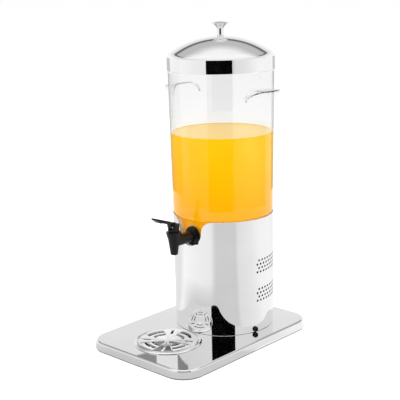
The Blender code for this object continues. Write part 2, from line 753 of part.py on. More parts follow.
def build_tap_valve(steel, rubber):
    """The stem with a cross bar at its head, the seal on its foot and the spring that closes it."""
    seat = SPOUT_BOTTOM + 0.0165
    seal = [(0, seat + GAP), (0.0056, seat + GAP), (0.0068, seat + 0.0018), (0.0068, seat + 0.0050)]
    seal += [(0.0020, seat + 0.0050), (0.0020, seat + 0.0025), (0, seat + 0.0025)]
    make("tap_seal", lathe(seal, 16), rubber, (0, SPOUT_Y, 0))

    foot = seat + 0.0025 + GAP
    disc = seat + 0.0050 + GAP
    stem = [(0, foot), (0.0017, foot), (0.0017, disc), (0.0060, disc), (0.0060, disc + 0.0012)]
    stem += [(0.0019, disc + 0.0012), (0.0019, STEM_BAR_Z), (0, STEM_BAR_Z)]
    body = make("tap_stem", lathe(stem, 12), steel, (0, SPOUT_Y, 0))
    bar = bmesh.new()
    add_cylinder(bar, 0.0010, 0.0080, Matrix.Rotation(math.radians(90), 4, "Y"), 12)
    combine(body, helper("stem_bar_add", bar, (0, SPOUT_Y, STEM_BAR_Z)), "UNION")

    turns, steps, wire = 4, 10, 0.00045
    low, high = disc + 0.0012 + GAP + wire, COLLAR_TOP - 0.0046 - GAP - wire
    curve = bpy.data.curves.new("tap_spring", "CURVE")
    curve.dimensions = "3D"
    curve.bevel_depth = wire
    curve.bevel_resolution = 0
    curve.use_fill_caps = True
    line = curve.splines.new("POLY")
    line.points.add(turns * steps)
    for i, point in enumerate(line.points):
        turn = 2 * math.pi * i / steps
        height = low + (high - low) * i / (turns * steps)
        point.co = (0.0045 * math.cos(turn), 0.0045 * math.sin(turn), height, 1)
    curve.materials.append(steel)
    spring = bpy.data.objects.new("tap_spring", curve)
    spring.location = (0, SPOUT_Y, 0)
    bpy.context.scene.collection.objects.link(spring)


def lever_point(x, along, above):
    """A point of the lever from its pin: along runs up towards its tip, above is square to that."""
    slope = LEVER_SLOPE
    y = -along * math.cos(slope) + above * math.sin(slope)
    return (x, y, along * math.sin(slope) + above * math.cos(slope))


def build_tap_lever(black, steel):
    """A flat bar with a thin tip. A tongue behind it sits in the bonnet's slot and lifts the stem."""
    top, thick = 0.0098, 0.0059
    stations = (
        (0.0058, 0.0070, thick),
        (0.0100, 0.0087, thick),
        (0.0330, 0.0087, thick),
        (0.0335, 0.0087, thick + 0.0010),
        (0.0390, 0.0087, 0.0050),
        (0.0450, 0.0074, 0.0036),
        (0.0478, 0.0050, 0.0028),
        (0.0487, 0.0020, 0.0022),
    )
    rings = []
    for along, half, depth in stations:
        edge = 0.0008
        foot = top - depth
        ring = [(half - edge, top), (half, top - edge), (half, foot + edge), (half - edge, foot)]
        ring += [(-x, above) for x, above in reversed(ring)]
        rings.append([lever_point(x, along, above) for x, above in ring])
    lever = make("tap_lever", loft(rings), black, (0, LEVER_PIN_Y, LEVER_PIN_Z))

    low = -0.0030
    side = [(0.0100, top - 0.0008), (-0.0160, top - 0.0008), (-0.0165, 0.0034), (-0.0122, 0.0012)]
    side += [(-0.0010, low), (0.0018, low), (0.0040, 0.0010)]
    side += [(0.0065, top - thick + 0.0010), (0.0100, top - thick + 0.0010)]
    tongue = loft([[lever_point(x, along, above) for along, above in side] for x in (-0.0042, 0.0042)])
    combine(lever, helper("lever_tongue_add", tongue, (0, LEVER_PIN_Y, LEVER_PIN_Z)), "UNION")
    holes = bmesh.new()
    across = Matrix.Rotation(math.radians(90), 4, "Y")
    add_cylinder(holes, 0.00158, 0.03, across, 12)
    combine(lever, helper("lever_pin_cut", holes, (0, LEVER_PIN_Y, LEVER_PIN_Z)))
    eye_top = STEM_BAR_Z + 0.0013
    eye = box((-0.02, SPOUT_Y - 0.0015, STEM_BAR_Z - 0.0013), (0.02, SPOUT_Y + 0.0025, eye_top))
    combine(lever, helper("lever_eye_cut", eye))
    stem_way = box((-0.0025, SPOUT_Y - 0.0036, STEM_BAR_Z - 0.02), (0.0025, SPOUT_Y + 0.02, eye_top))
    combine(lever, helper("lever_stem_cut", stem_way))

    pin = bmesh.new()
    add_cylinder(pin, 0.0015, 0.0136, across, 12)
    make("lever_pin", pin, steel, (0, LEVER_PIN_Y, LEVER_PIN_Z))


# Lid


def dome_points(steps, bend_steps):
    """(radius, height, slope) from the dome's top down to the band: a wide cap, then a tighter shoulder."""
    edge_slope = math.asin(DOME_EDGE / DOME_RADIUS)
    points = []
    for i in range(1, steps + 1):
        slope = edge_slope * i / steps
        fall = DOME_RADIUS * (1 - math.cos(slope))
        points.append((DOME_RADIUS * math.sin(slope), DOME_TOP - fall, slope))
    radius, height, _ = points[-1]
    for i in range(1, bend_steps + 1):
        slope = edge_slope + (SHOULDER_SLOPE - edge_slope) * i / bend_steps
        out = DOME_SHOULDER * (math.sin(slope) - math.sin(edge_slope))
        down = DOME_SHOULDER * (math.cos(edge_slope) - math.cos(slope))
        points.append((radius + out, height - down, slope))
    return points


def build_lid(steel, silicone):
    """A spun lid: upright band and a dome as wide as the band, with a hole for the knob's screw."""
    hole = 0.0026
    dome = dome_points(6, 4)
    outer = [(LID_RADIUS, LID_BOTTOM), (LID_RADIUS, LID_RING_Z)]
    outer += [(radius, height) for radius, height, _ in reversed(dome)]
    outer += [(hole, DOME_TOP)]
    inner = [(hole, DOME_TOP - LID_SHEET)]
    for radius, height, slope in dome:
        inner.append((radius - LID_SHEET * math.sin(slope), height - LID_SHEET * math.cos(slope)))
    inner += [(LID_RADIUS - LID_SHEET, LID_RING_Z - LID_SHEET / 2), (LID_RADIUS - LID_SHEET, LID_BOTTOM)]
    make("lid", lathe(outer + inner, 48), steel, (0, TOWER_Y, 0))

    low, high = CONTAINER_TOP + GAP, CONTAINER_TOP + 0.003
    seal = [(0.0960, low), (0.1006, low), (0.1006, high), (0.0960, high)]
    make("lid_seal", lathe(seal, 36), silicone, (0, TOWER_Y, 0))


def build_knob(steel, plain_steel):
    """A turned knob: straight stem, short cone and a wide head, held by a screw from below."""
    low, stem = DOME_TOP + GAP, 0.0068
    profile = [
        (0, low + 0.014),
        (0.0021, low + 0.014),
        (0.0021, low),
        (stem + 0.0005, low),
        (stem, low + 0.0012),
        (stem, KNOB_TOP - 0.0130),
        (0.0076, KNOB_TOP - 0.0110),
        (0.0130, KNOB_TOP - 0.0052),
        (0.0164, KNOB_TOP - 0.0028),
        (0.0168, KNOB_TOP - 0.0020),
        (0.0160, KNOB_TOP - 0.0013),
        (0.0090, KNOB_TOP - 0.0004),
        (0, KNOB_TOP),
    ]
    make("lid_knob", lathe(profile, 24), steel, (0, TOWER_Y, 0))
    head = DOME_TOP - LID_SHEET - GAP
    screw = [(0, head - 0.0025), (0.0035, head - 0.0025), (0.0045, head - 0.0010), (0.0045, head)]
    screw += [(0.0018, head), (0.0018, low + 0.012), (0, low + 0.012)]
    make("knob_screw", lathe(screw, 12), plain_steel, (0, TOWER_Y, 0))


def main():
    clear_scene()
    mirror_steel = material("mirror_steel", (0.82, 0.82, 0.83), 0.08, 1.0)
    zinc_steel = material("zinc_steel", (0.60, 0.61, 0.63), 0.38, 1.0)
    plain_steel = material("plain_steel", (0.70, 0.70, 0.72), 0.28, 1.0)
    brass = material("brass", (0.78, 0.62, 0.30), 0.35, 1.0)
    aluminium = material("aluminium", (0.80, 0.81, 0.82), 0.32, 1.0)
    ceramic = material("ceramic", (0.90, 0.90, 0.87), 0.55)
    liner_plastic = material("liner_plastic", (0.88, 0.88, 0.85), 0.60)
    clear_plastic = material("clear_plastic", (0.95, 0.96, 0.95), 0.05, 0.0, 0.30)
    black_plastic = material("black_plastic", (0.025, 0.025, 0.027), 0.35)
    rubber = material("rubber", (0.04, 0.04, 0.04), 0.80)
    silicone = material("silicone", (0.80, 0.80, 0.78), 0.60)

    build_base_tray(mirror_steel)
    build_bottom_cover(zinc_steel)
    build_feet(rubber, plain_steel, brass)
    build_drip_cup(mirror_steel)
    build_drip_grille(mirror_steel)
    build_tower_shell(mirror_steel)
    build_base_ring(zinc_steel)
    build_tower_screws(plain_steel)
    build_deck(zinc_steel)
    build_liner(liner_plastic)
    build_cooling_unit(aluminium, ceramic, black_plastic)
    build_fan_rotor(black_plastic)
    build_electrics(zinc_steel, black_plastic)
    build_container(clear_plastic)
    build_grips(clear_plastic)
    build_tap_body(black_plastic)
    build_tap_fixings(rubber, black_plastic)
    build_tap_bonnet(black_plastic)
    build_tap_valve(plain_steel, rubber)
    build_tap_lever(black_plastic, plain_steel)
    build_lid(mirror_steel, silicone)
    build_knob(mirror_steel, plain_steel)


main()
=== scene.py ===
"""The picture model of the beverage dispenser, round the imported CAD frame, in a plain white studio.

Metres, +Z up, tap towards -Y. Turned pieces of the tower share its axis, TOWER_Y behind the origin.
"""

import json
import math

import bmesh
import bpy
from mathutils import Matrix, Vector


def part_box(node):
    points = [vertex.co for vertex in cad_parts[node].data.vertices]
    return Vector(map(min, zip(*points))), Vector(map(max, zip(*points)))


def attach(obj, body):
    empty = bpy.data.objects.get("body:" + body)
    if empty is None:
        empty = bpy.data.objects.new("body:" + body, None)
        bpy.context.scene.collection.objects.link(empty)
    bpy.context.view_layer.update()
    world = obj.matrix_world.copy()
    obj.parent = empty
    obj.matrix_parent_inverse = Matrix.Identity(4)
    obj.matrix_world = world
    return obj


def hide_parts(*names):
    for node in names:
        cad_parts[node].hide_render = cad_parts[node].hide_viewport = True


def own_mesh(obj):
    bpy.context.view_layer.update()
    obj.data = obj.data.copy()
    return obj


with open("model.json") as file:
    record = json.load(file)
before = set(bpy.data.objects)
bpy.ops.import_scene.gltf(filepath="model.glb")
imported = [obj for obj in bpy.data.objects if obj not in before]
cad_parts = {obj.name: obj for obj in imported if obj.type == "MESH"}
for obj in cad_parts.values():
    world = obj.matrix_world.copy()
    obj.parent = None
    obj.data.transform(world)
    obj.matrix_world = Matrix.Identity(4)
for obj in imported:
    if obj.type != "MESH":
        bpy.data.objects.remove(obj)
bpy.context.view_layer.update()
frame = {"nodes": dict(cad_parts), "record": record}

# Sizes and places that several pieces share

TOWER_Y = 0.067
TRAY_TOP = 0.018
WELL_Y = -0.0955
SHELL_RADIUS = 0.0975
SHELL_TOP = TRAY_TOP + 0.224
TAP_Z = TRAY_TOP + 0.1915
SPOUT_Y = TOWER_Y - 0.139
SPOUT_BOTTOM = TRAY_TOP + 0.1665
COLLAR_TOP = TRAY_TOP + 0.2105
BOSS_FACE_Y = TOWER_Y - 0.085
LEVER_PIN = Vector((0, SPOUT_Y - 0.0085, TRAY_TOP + 0.2215))
ALONG_X = Matrix.Rotation(math.radians(90), 4, "Y")
ALONG_Y = Matrix.Rotation(math.radians(90), 4, "X")
JUICE_TOP = TRAY_TOP + 0.3807
ROUND = 192

# Node materials


def add_node(tree, kind, inputs=(), **settings):
    """Adds a node. Each input is given as a value or as the socket that feeds it."""
    node = tree.nodes.new(kind)
    for key, value in settings.items():
        setattr(node, key, value)
    for key, value in dict(inputs).items():
        if isinstance(value, bpy.types.NodeSocket):
            tree.links.new(value, node.inputs[key])
        else:
            node.inputs[key].default_value = value
    return node


def ramp_of(tree, factor, stops):
    """A colour ramp from (position, colour) pairs. One number stands for a grey."""
    ramp = add_node(tree, "ShaderNodeValToRGB", {"Fac": factor})
    elements = ramp.color_ramp.elements
    elements.remove(elements[1])
    for i, (place, colour) in enumerate(stops):
        stop = elements[0] if i == 0 else elements.new(place)
        stop.position = place
        stop.color = (*colour, 1) if isinstance(colour, tuple) else (colour, colour, colour, 1)
    return ramp.outputs["Color"]


class Nodes:
    """A material's node tree, with short calls that add nodes and join them."""

    def __init__(self, name):
        self.material = bpy.data.materials.new(name)
        self.material.use_nodes = True
        self.tree = self.material.node_tree
        self.shader = self.tree.nodes["Principled BSDF"]

    def add(self, kind, inputs=(), **settings):
        return add_node(self.tree, kind, inputs, **settings)

    def plug(self, socket, name):
        self.tree.links.new(socket, self.shader.inputs[name])

    def place(self, stretch=(1, 1, 1)):
        here = self.add("ShaderNodeTexCoord")
        moved = self.add("ShaderNodeMapping", {"Vector": here.outputs["Object"], "Scale": stretch})
        return moved.outputs["Vector"]

    def noise(self, where, scale, detail=3.0, rough=0.5):
        inputs = {"Vector": where, "Scale": scale, "Detail": detail, "Roughness": rough}
        return self.add("ShaderNodeTexNoise", inputs).outputs["Fac"]

    def between(self, value, low, high, start=0.3, end=0.7):
        inputs = {"Value": value, "From Min": start, "From Max": end, "To Min": low, "To Max": high}
        return self.add("ShaderNodeMapRange", inputs).outputs["Result"]

    def blend(self, factor, first, second):
        inputs = {0: factor}
        for key, value in ((6, first), (7, second)):
            inputs[key] = value if isinstance(value, bpy.types.NodeSocket) else (*value, 1.0)
        return self.add("ShaderNodeMix", inputs, data_type="RGBA").outputs[2]

    def bump(self, height, distance, before=None):
        inputs = {"Height": height, "Distance": distance, "Strength": 1.0}
        if before:
            inputs["Normal"] = before
        return self.add("ShaderNodeBump", inputs).outputs["Normal"]


def shade(colour, factor):
    return tuple(min(1.0, channel * factor) for channel in colour)


def steel(name, colour, roughness, wave=0.00012, lines=None, smear=0.02):
    """Polished or plain sheet steel: slow waves in the sheet, finger smears and fine polishing lines."""
    n = Nodes(name)
    n.shader.inputs["Metallic"].default_value = 1.0
    here = n.place()
    cloud = n.noise(here, 14, 4)
    n.plug(n.blend(n.between(cloud, 0, 1), shade(colour, 0.965), shade(colour, 1.02)), "Base Color")
    smears = n.noise(n.place((1, 1, 0.35)), 55, 6, 0.62)
    n.plug(n.between(smears, roughness, roughness + smear, 0.45, 0.75), "Roughness")
    normal = n.bump(n.noise(here, 9, 1), wave)
    if lines:
        fine = n.noise(n.place(lines), 900, 2)
        normal = n.bump(fine, 0.0000025, normal)
    n.plug(normal, "Normal")
    return n.material


def plastic(name, colour, roughness, grain=2600, depth=0.00002, specular=0.5):
    """Moulded plastic or rubber: a fine spark-eroded grain, small swirls in the colour, uneven sheen."""
    n = Nodes(name)
    n.shader.inputs["Specular IOR Level"].default_value = specular
    here = n.place()
    swirl = n.noise(here, 60, 4)
    n.plug(n.blend(n.between(swirl, 0, 1), shade(colour, 0.86), shade(colour, 1.16)), "Base Color")
    n.plug(n.between(n.noise(here, 130, 5), roughness - 0.05, roughness + 0.07), "Roughness")
    n.plug(n.bump(n.noise(here, grain, 2), depth), "Normal")
    return n.material


def clear_plastic(name, tint, ior, density):
    """Clear moulded plastic with faint wipe marks and a slow wave in the wall. It darkens with depth."""
    n = Nodes(name)
    n.shader.inputs["Transmission Weight"].default_value = 1.0
    n.shader.inputs["IOR"].default_value = ior
    depth = n.add("ShaderNodeVolumeAbsorption", {"Color": (0.04, 0.05, 0.04, 1.0), "Density": density})
    n.tree.links.new(depth.outputs["Volume"], n.tree.nodes["Material Output"].inputs["Volume"])
    here = n.place()
    wipes = n.noise(n.place((1, 1, 0.12)), 120, 5, 0.6)
    n.plug(n.between(wipes, 0.012, 0.035, 0.5, 0.8), "Roughness")
    n.plug(n.blend(n.between(n.noise(here, 5), 0, 1), shade(tint, 0.99), tint), "Base Color")
    n.plug(n.bump(n.noise(here, 11, 1), 0.00006), "Normal")
    return n.material


def juice_body():
    """Orange juice: brighter towards the top, with slow clouds and fine pulp. Its own glow stands in for
    the light that scatters inside it."""
    n = Nodes("juice_look")
    n.shader.inputs["Specular IOR Level"].default_value = 0.0
    n.shader.inputs["Roughness"].default_value = 0.5
    n.shader.inputs["Emission Strength"].default_value = 0.405
    here = n.add("ShaderNodeTexCoord").outputs["Object"]
    height = n.add("ShaderNodeSeparateXYZ", {"Vector": here}).outputs["Z"]
    stops = ((0.0, (0.90, 0.31, 0.002)), (0.25, (0.97, 0.47, 0.002)), (0.7, (0.99, 0.59, 0.003)))
    stops += ((1.0, (1.0, 0.65, 0.01)),)
    depth = ramp_of(n.tree, n.between(height, 0, 1, 0.18, JUICE_TOP), stops)
    clouds = n.between(n.noise(n.place((1, 1, 0.6)), 16, 4), 0, 1)
    body = n.blend(0.35, depth, n.blend(clouds, depth, (0.97, 0.50, 0.004)))
    pulp = n.between(n.noise(n.place((1, 1, 0.5)), 420, 3, 0.7), 0, 0.25, 0.62, 0.78)
    colour = n.blend(pulp, body, (1.0, 0.68, 0.08))
    n.plug(colour, "Base Color")
    n.plug(colour, "Emission Color")
    return n.material


def juice_top():
    """The juice's surface: paler, with fine froth."""
    n = Nodes("juice_top_look")
    n.shader.inputs["Roughness"].default_value = 0.3
    n.shader.inputs["Specular IOR Level"].default_value = 0.1
    # Painted light: the surface's glow stands in for the light that falls on it and scatters inside
    n.shader.inputs["Emission Strength"].default_value = 0.58
    here = n.place()
    froth = n.between(n.noise(here, 260, 5, 0.65), 0, 1, 0.42, 0.66)
    colour = n.blend(froth, (0.97, 0.66, 0.16), (0.99, 0.76, 0.30))
    n.plug(colour, "Base Color")
    n.plug(colour, "Emission Color")
    n.plug(n.bump(n.noise(here, 340, 3), 0.0002), "Normal")
    return n.material


# Mesh helpers


def smooth(mesh, angle):
    """Smooth shading, apart from the edges that turn by more than an angle in degrees."""
    mesh.shade_smooth()
    mesh.set_sharp_from_angle(angle=math.radians(angle))


def to_object(name, bm, look=None, angle=28):
    """Makes an object of a bmesh, with its faces turned outwards."""
    bmesh.ops.recalc_face_normals(bm, faces=bm.faces)
    mesh = bpy.data.meshes.new(name)
    bm.to_mesh(mesh)
    bm.free()
    smooth(mesh, angle)
    if look:
        mesh.materials.append(look)
    obj = bpy.data.objects.new(name, mesh)
    bpy.context.scene.collection.objects.link(obj)
    return obj


def settle(obj):
    """Applies the modifiers and the place of an object, so that its own mesh holds its final shape."""
    bpy.context.view_layer.update()
    graph = bpy.context.evaluated_depsgraph_get()
    mesh = bpy.data.meshes.new_from_object(obj.evaluated_get(graph))
    mesh.transform(obj.matrix_world)
    obj.modifiers.clear()
    obj.data = mesh
    obj.matrix_world = Matrix.Identity(4)
    return obj


def combine(obj, bm, operation="DIFFERENCE", at=(0, 0, 0)):
    """Cuts a solid out of an object, or joins it on."""
    tool = to_object("tool", bm)
    tool.location = at
    modifier = obj.modifiers.new("tool", "BOOLEAN")
    modifier.operation = operation
    modifier.object = tool
    modifier.solver = "EXACT"
    settle(obj)
    bpy.data.objects.remove(tool)
    return obj


def soften(obj, width, segments=2, angle=30):
    """Rounds the sharp edges a little, so that they catch the light."""
    bevel = obj.modifiers.new("soften", "BEVEL")
    bevel.width = width
    bevel.segments = segments
    bevel.limit_method = "ANGLE"
    bevel.angle_limit = math.radians(angle)
    settle(obj)
    smooth(obj.data, angle)
    return obj


def skin(bm, rings, closed):
    """Joins each ring of points to the next with faces. A ring of one point closes to a tip."""
    pairs = list(zip(rings, rings[1:]))
    if closed:
        pairs.append((rings[-1], rings[0]))
    for first, second in pairs:
        count = max(len(first), len(second))
        for i in range(count if len(first) + len(second) > 2 else 0):
            corners = [first[i % len(first)], first[(i + 1) % len(first)]]
            corners += [second[(i + 1) % len(second)], second[i % len(second)]]
            bm.faces.new(list(dict.fromkeys(corners)))


def lathe(profile, segments=ROUND, centre=(0, 0)):
    """A body turned about an upright axis from a closed loop of (radius, height) points."""
    bm = bmesh.new()
    rings = []
    for radius, height in profile:
        count = segments if radius > 0 else 1
        turns = [2 * math.pi * i / segments for i in range(count)]
        circle = [(radius * math.cos(t), radius * math.sin(t)) for t in turns]
        rings.append([bm.verts.new((centre[0] + x, centre[1] + y, height)) for x, y in circle])
    skin(bm, rings, closed=True)
    return bm


def lathe_y(profile, segments=96):
    """A body turned about the tap's level axis from (radius, y) points."""
    bm = lathe(profile, segments)
    turn = Matrix.Translation((0, 0, TAP_Z)) @ Matrix.Rotation(math.radians(-90), 4, "X")
    bmesh.ops.transform(bm, matrix=turn, verts=bm.verts)
    return bm


def loft(rings):
    """A closed body through rings that all have the same number of points."""
    bm = bmesh.new()
    made = [[bm.verts.new(point) for point in ring] for ring in rings]
    skin(bm, made, closed=False)
    bm.faces.new(made[0])
    bm.faces.new(made[-1])
    return bm


def prism_y(outline, low, high):
    """A prism along Y from an outline of (x, z) points."""
    return loft([[(x, y, z) for x, z in outline] for y in (low, high)])


def arc(centre, radius, start, end, steps):
    """Points along an arc, from one angle to another in degrees."""
    turns = [math.radians(start + (end - start) * i / steps) for i in range(steps + 1)]
    return [(centre[0] + radius * math.cos(t), centre[1] + radius * math.sin(t)) for t in turns]


def round_rectangle(width, length, corner, steps):
    points = []
    for turn, (sx, sy) in enumerate(((1, 1), (-1, 1), (-1, -1), (1, -1))):
        centre = (sx * (width / 2 - corner), sy * (length / 2 - corner))
        points += arc(centre, corner, 90 * turn, 90 * turn + 90, steps)
    return points


def cylinder(bm, radius, depth, matrix, segments):
    bmesh.ops.create_cone(
        bm, cap_ends=True, segments=segments, radius1=radius, radius2=radius, depth=depth, matrix=matrix
    )


def rod(radius, depth, place, segments):
    bm = bmesh.new()
    cylinder(bm, radius, depth, place, segments)
    return bm


def box(low, high):
    """A bmesh block from its lowest corner to its highest."""
    bm = bmesh.new()
    centre, size = (Vector(low) + Vector(high)) / 2, Vector(high) - Vector(low)
    bmesh.ops.create_cube(bm, matrix=Matrix.LocRotScale(centre, None, size))
    return bm


def smooth_curve(points, steps=6):
    """More points along a line of points, on a Catmull-Rom curve."""
    ends = [points[0]] + list(points) + [points[-1]]
    out = []
    for a, b, c, d in zip(ends, ends[1:], ends[2:], ends[3:]):
        for i in range(steps):
            t = i / steps
            row = []
            for pa, pb, pc, pd in zip(a, b, c, d):
                inner = (2 * pa - 5 * pb + 4 * pc - pd) * t * t + (3 * pb - 3 * pc + pd - pa) * t**3
                row.append(0.5 * (2 * pb + (pc - pa) * t + inner))
            out.append(tuple(row))
    return out + [points[-1]]


def upright_normals(obj, axis_y, limit=0.985):
    """True cylinder normals on the upright faces, so that a mirror finish shows no facets."""
    mesh = obj.data
    normals = [tuple(corner.vector) for corner in mesh.corner_normals]
    for face in mesh.polygons:
        flat = Vector((face.center.x, face.center.y - axis_y, 0)).normalized()
        side = face.normal.dot(flat)
        if abs(side) < limit:
            continue
        for loop in face.loop_indices:
            point = mesh.vertices[mesh.loops[loop].vertex_index].co
            out = Vector((point.x, point.y - axis_y, 0)).normalized()
            slope = face.normal.z
            level = math.copysign(math.sqrt(1 - slope * slope), side)
            out = (out * level + Vector((0, 0, slope))).normalized()
            normals[loop] = tuple(out)
    mesh.normals_split_custom_set(normals)
    return obj


def finish(obj, body, slot, *replaced):
    """Hands a piece over: what it rides on and the CAD nodes it stands for. The record slot is not used.
    """
    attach(obj, body)
    if replaced:
        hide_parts(*replaced)
    return obj


# Looks

POLISHED = steel("polished_steel_look", (0.88, 0.88, 0.885), 0.035, 0.00010)
SPUN = steel("spun_steel_look", (0.88, 0.88, 0.885), 0.04, 0.00006, lines=(0.02, 0.02, 6))
# The tower's inside: a dull finish, with its colour darkened to 0.10 as painted shade in the hollow
DULL_SHADED_STEEL = steel("dull_shaded_steel_look", (0.10, 0.10, 0.10), 0.50, 0.0002, smear=0.10)
TURNED = steel("turned_steel_look", (0.68, 0.68, 0.70), 0.22, 0.00002, lines=(0.05, 0.05, 3))
LINER = plastic("liner_plastic_look", (0.86, 0.86, 0.82), 0.45, 1200, 0.00005)
BLACK = plastic("black_plastic_look", (0.004, 0.004, 0.0045), 0.22, specular=0.22)
RUBBER = plastic("rubber_look", (0.028, 0.028, 0.028), 0.72, 1800, 0.00004, 0.3)
CLEAR = clear_plastic("clear_plastic_look", (0.980, 0.982, 0.979), 1.49, 9)
CLEAR_EDGE = clear_plastic("clear_grip_look", (0.97, 0.975, 0.97), 1.50, 16)
JUICE = juice_body()
JUICE_SURFACE = juice_top()

LOOKS = {
    "mirror_steel": POLISHED,
    "zinc_steel": steel("zinc_steel_look", (0.60, 0.61, 0.63), 0.34, 0.0002, smear=0.10),
    "plain_steel": TURNED,
    "brass": steel("brass_look", (0.78, 0.60, 0.28), 0.28, 0.00003, lines=(0.05, 0.05, 3)),
    "aluminium": steel("milled_aluminium_look", (0.79, 0.80, 0.81), 0.30, 0.00005, lines=(3, 0.05, 0.05)),
    "ceramic": plastic("ceramic_look", (0.88, 0.88, 0.85), 0.5, 1500, 0.00004),
    "liner_plastic": LINER,
    "clear_plastic": CLEAR,
    "black_plastic": BLACK,
    "rubber": RUBBER,
    "silicone": plastic("silicone_look", (0.78, 0.78, 0.76), 0.48, 1400, 0.00003),
}


def dress_cad_nodes():
    """Every CAD node gets the look of its record slot."""
    slots = {entry["node"]: entry["material_slot"] for entry in frame["record"]["subparts"]}
    for name, obj in frame["nodes"].items():
        obj.data.materials.clear()
        obj.data.materials.append(LOOKS[slots[name]])


# Tray

TRAY_WIDTH = 0.259
TRAY_LENGTH = 0.369
TRAY_CORNER = 0.0414
WELL_RADIUS = 0.0584
WIRING_HOLE_RADIUS = 0.040
GRILLE_TURN = 33


def tray_ring(offset, height):
    """The tray's outline at a height, moved out by an offset."""
    grown = (TRAY_WIDTH + 2 * offset, TRAY_LENGTH + 2 * offset, TRAY_CORNER + offset)
    outline = round_rectangle(*grown, 24)
    return [(x, y, height) for x, y in outline]


def build_tray():
    edge, sheet, flare, low = 0.004, 0.0012, 0.0015, 0.002
    outer = [tray_ring(-edge + x, z) for x, z in arc((0, TRAY_TOP - edge), edge, 90, 0, 8)]
    outer += [tray_ring(flare * 0.93, low + 0.0007), tray_ring(flare, low + 0.0002)]
    outer += [tray_ring(flare - 0.0004, low)]
    inner = [tray_ring(flare - sheet, low + 0.0002), tray_ring(-sheet, TRAY_TOP - edge)]
    inner += [tray_ring(-edge, TRAY_TOP - sheet)]
    tray = to_object("tray_pressing", loft(outer + inner), POLISHED, 20)
    combine(tray, rod(WELL_RADIUS, 0.02, Matrix.Translation((0, WELL_Y, TRAY_TOP)), 128))
    combine(tray, rod(WIRING_HOLE_RADIUS, 0.02, Matrix.Translation((0, TOWER_Y, TRAY_TOP)), 64))
    smooth(tray.data, 24)
    mesh = tray.data
    normals = [tuple(corner.vector) for corner in mesh.corner_normals]
    for face in mesh.polygons:
        if abs(face.normal.z) > 0.999:
            for loop in face.loop_indices:
                normals[loop] = (0, 0, math.copysign(1, face.normal.z))
    mesh.normals_split_custom_set(normals)
    finish(tray, "base", "mirror_steel", "base_tray")


def build_cup():
    floor, lip, outer, rim = 0.0066, TRAY_TOP + 0.0003, 0.0580, 0.0640
    inner = outer - 0.0009
    profile = [(0, floor), (outer - 0.003, floor), (inner, floor + 0.0009), (outer, floor + 0.003)]
    profile += [(outer, lip), (rim, lip), (rim, lip + 0.0005)]
    profile += arc((0.0612, lip), 0.0026, 18, 165, 12)
    profile += [(inner + 0.0004, lip + 0.0002), (inner, lip - 0.0004), (inner, floor + 0.0042)]
    profile += [(inner - 0.0010, floor + 0.0018), (inner - 0.0028, floor + 0.0009), (0, floor + 0.0009)]
    cup = to_object("drip_cup_pressing", lathe(profile, 160, (0, WELL_Y)), POLISHED, 40)
    finish(cup, "drip_cup", "mirror_steel", "drip_cup")


def slot_cut(bm, outline, depth):
    """Adds an upright cutter with this outline, reaching depth above and below zero."""
    rings = [[bm.verts.new((x, y, h)) for x, y in outline] for h in (-depth, depth)]
    skin(bm, rings, closed=False)
    bm.faces.new(rings[0])
    bm.faces.new(rings[1])


def curved_slot(radius, middle, half_span, width):
    """The outline of a slot along an arc, with round ends."""
    r = width / 2
    points = []
    for side, start in ((1, middle - half_span), (-1, middle + half_span)):
        for i in range(13):
            turn = start + side * 2 * half_span * i / 12
            points.append(((radius + side * r) * math.cos(turn), (radius + side * r) * math.sin(turn)))
        end = start + side * 2 * half_span
        centre = (radius * math.cos(end), radius * math.sin(end))
        first = math.degrees(end) + (0 if side > 0 else 180)
        points += arc(centre, r, first, first + 180, 8)[1:-1]
    return points


def build_grille():
    radius, top, sheet, edge = 0.0568, TRAY_TOP + 0.0024, 0.0012, 0.0008
    slot_width, deep = 0.0045, 0.004
    inside = radius - sheet
    profile = [(0, top - sheet), (inside - edge, top - sheet), (inside, top - sheet - edge)]
    profile += [(inside, TRAY_TOP - 0.003), (radius, TRAY_TOP - 0.003)]
    profile += arc((radius - edge, top - edge), edge, 0, 90, 4) + [(0, top)]
    grille = to_object("drip_grille_plate", lathe(profile, 160), POLISHED)
    slots = bmesh.new()
    for quarter in range(4):
        straight = math.radians(GRILLE_TURN - 90 + 90 * quarter)
        for ring in (0.0433, 0.0293):
            slot_cut(slots, curved_slot(ring, straight + math.pi / 4, 0.36, slot_width), deep)
        outline = arc((0.0455, 0), slot_width / 2, -90, 90, 8)
        outline += arc((0.0345, 0), slot_width / 2, 90, 270, 8)
        turn = Matrix.Rotation(straight, 2)
        slot_cut(slots, [tuple(turn @ Vector(point)) for point in outline], deep)
    combine(grille, slots, at=(0, 0, top))
    soften(grille, 0.00035, 2, 40)
    grille.location = (0, WELL_Y, 0)
    settle(grille)
    finish(grille, "drip_grille", "mirror_steel", "drip_grille")

    foot, head = 0.0078, top - sheet - 0.0003
    leg = [(0, foot), (0.0022, foot)] + arc((0.0022, foot + 0.0008), 0.0008, -60, 0, 4)
    leg += [(0.0030, head - 0.0010), (0.0027, head), (0, head)]
    corners = ("rear_right", "rear_left", "front_left", "front_right")
    for corner, place in zip(corners, arc((0, WELL_Y), 0.052, GRILLE_TURN, GRILLE_TURN + 270, 3)):
        stud = to_object("grille_stud_" + corner, lathe(leg, 32, place), POLISHED)
        finish(stud, "drip_grille", "mirror_steel", "grille_leg_" + corner)


# Tower


def notch_outline():
    """The notch that the tap comes through: a round bottom, straight sides and a mouth that flares."""
    half, flare, top = 0.027, 0.022, SHELL_TOP + 0.02
    right = [(half + flare, top)] + arc((half + flare, SHELL_TOP - flare), flare, 90, 180, 16)
    bottom = arc((0, TRAY_TOP + 0.201), half, 0, -180, 48)[1:-1]
    left = [(-x, z) for x, z in reversed(right)]
    return right + bottom + left


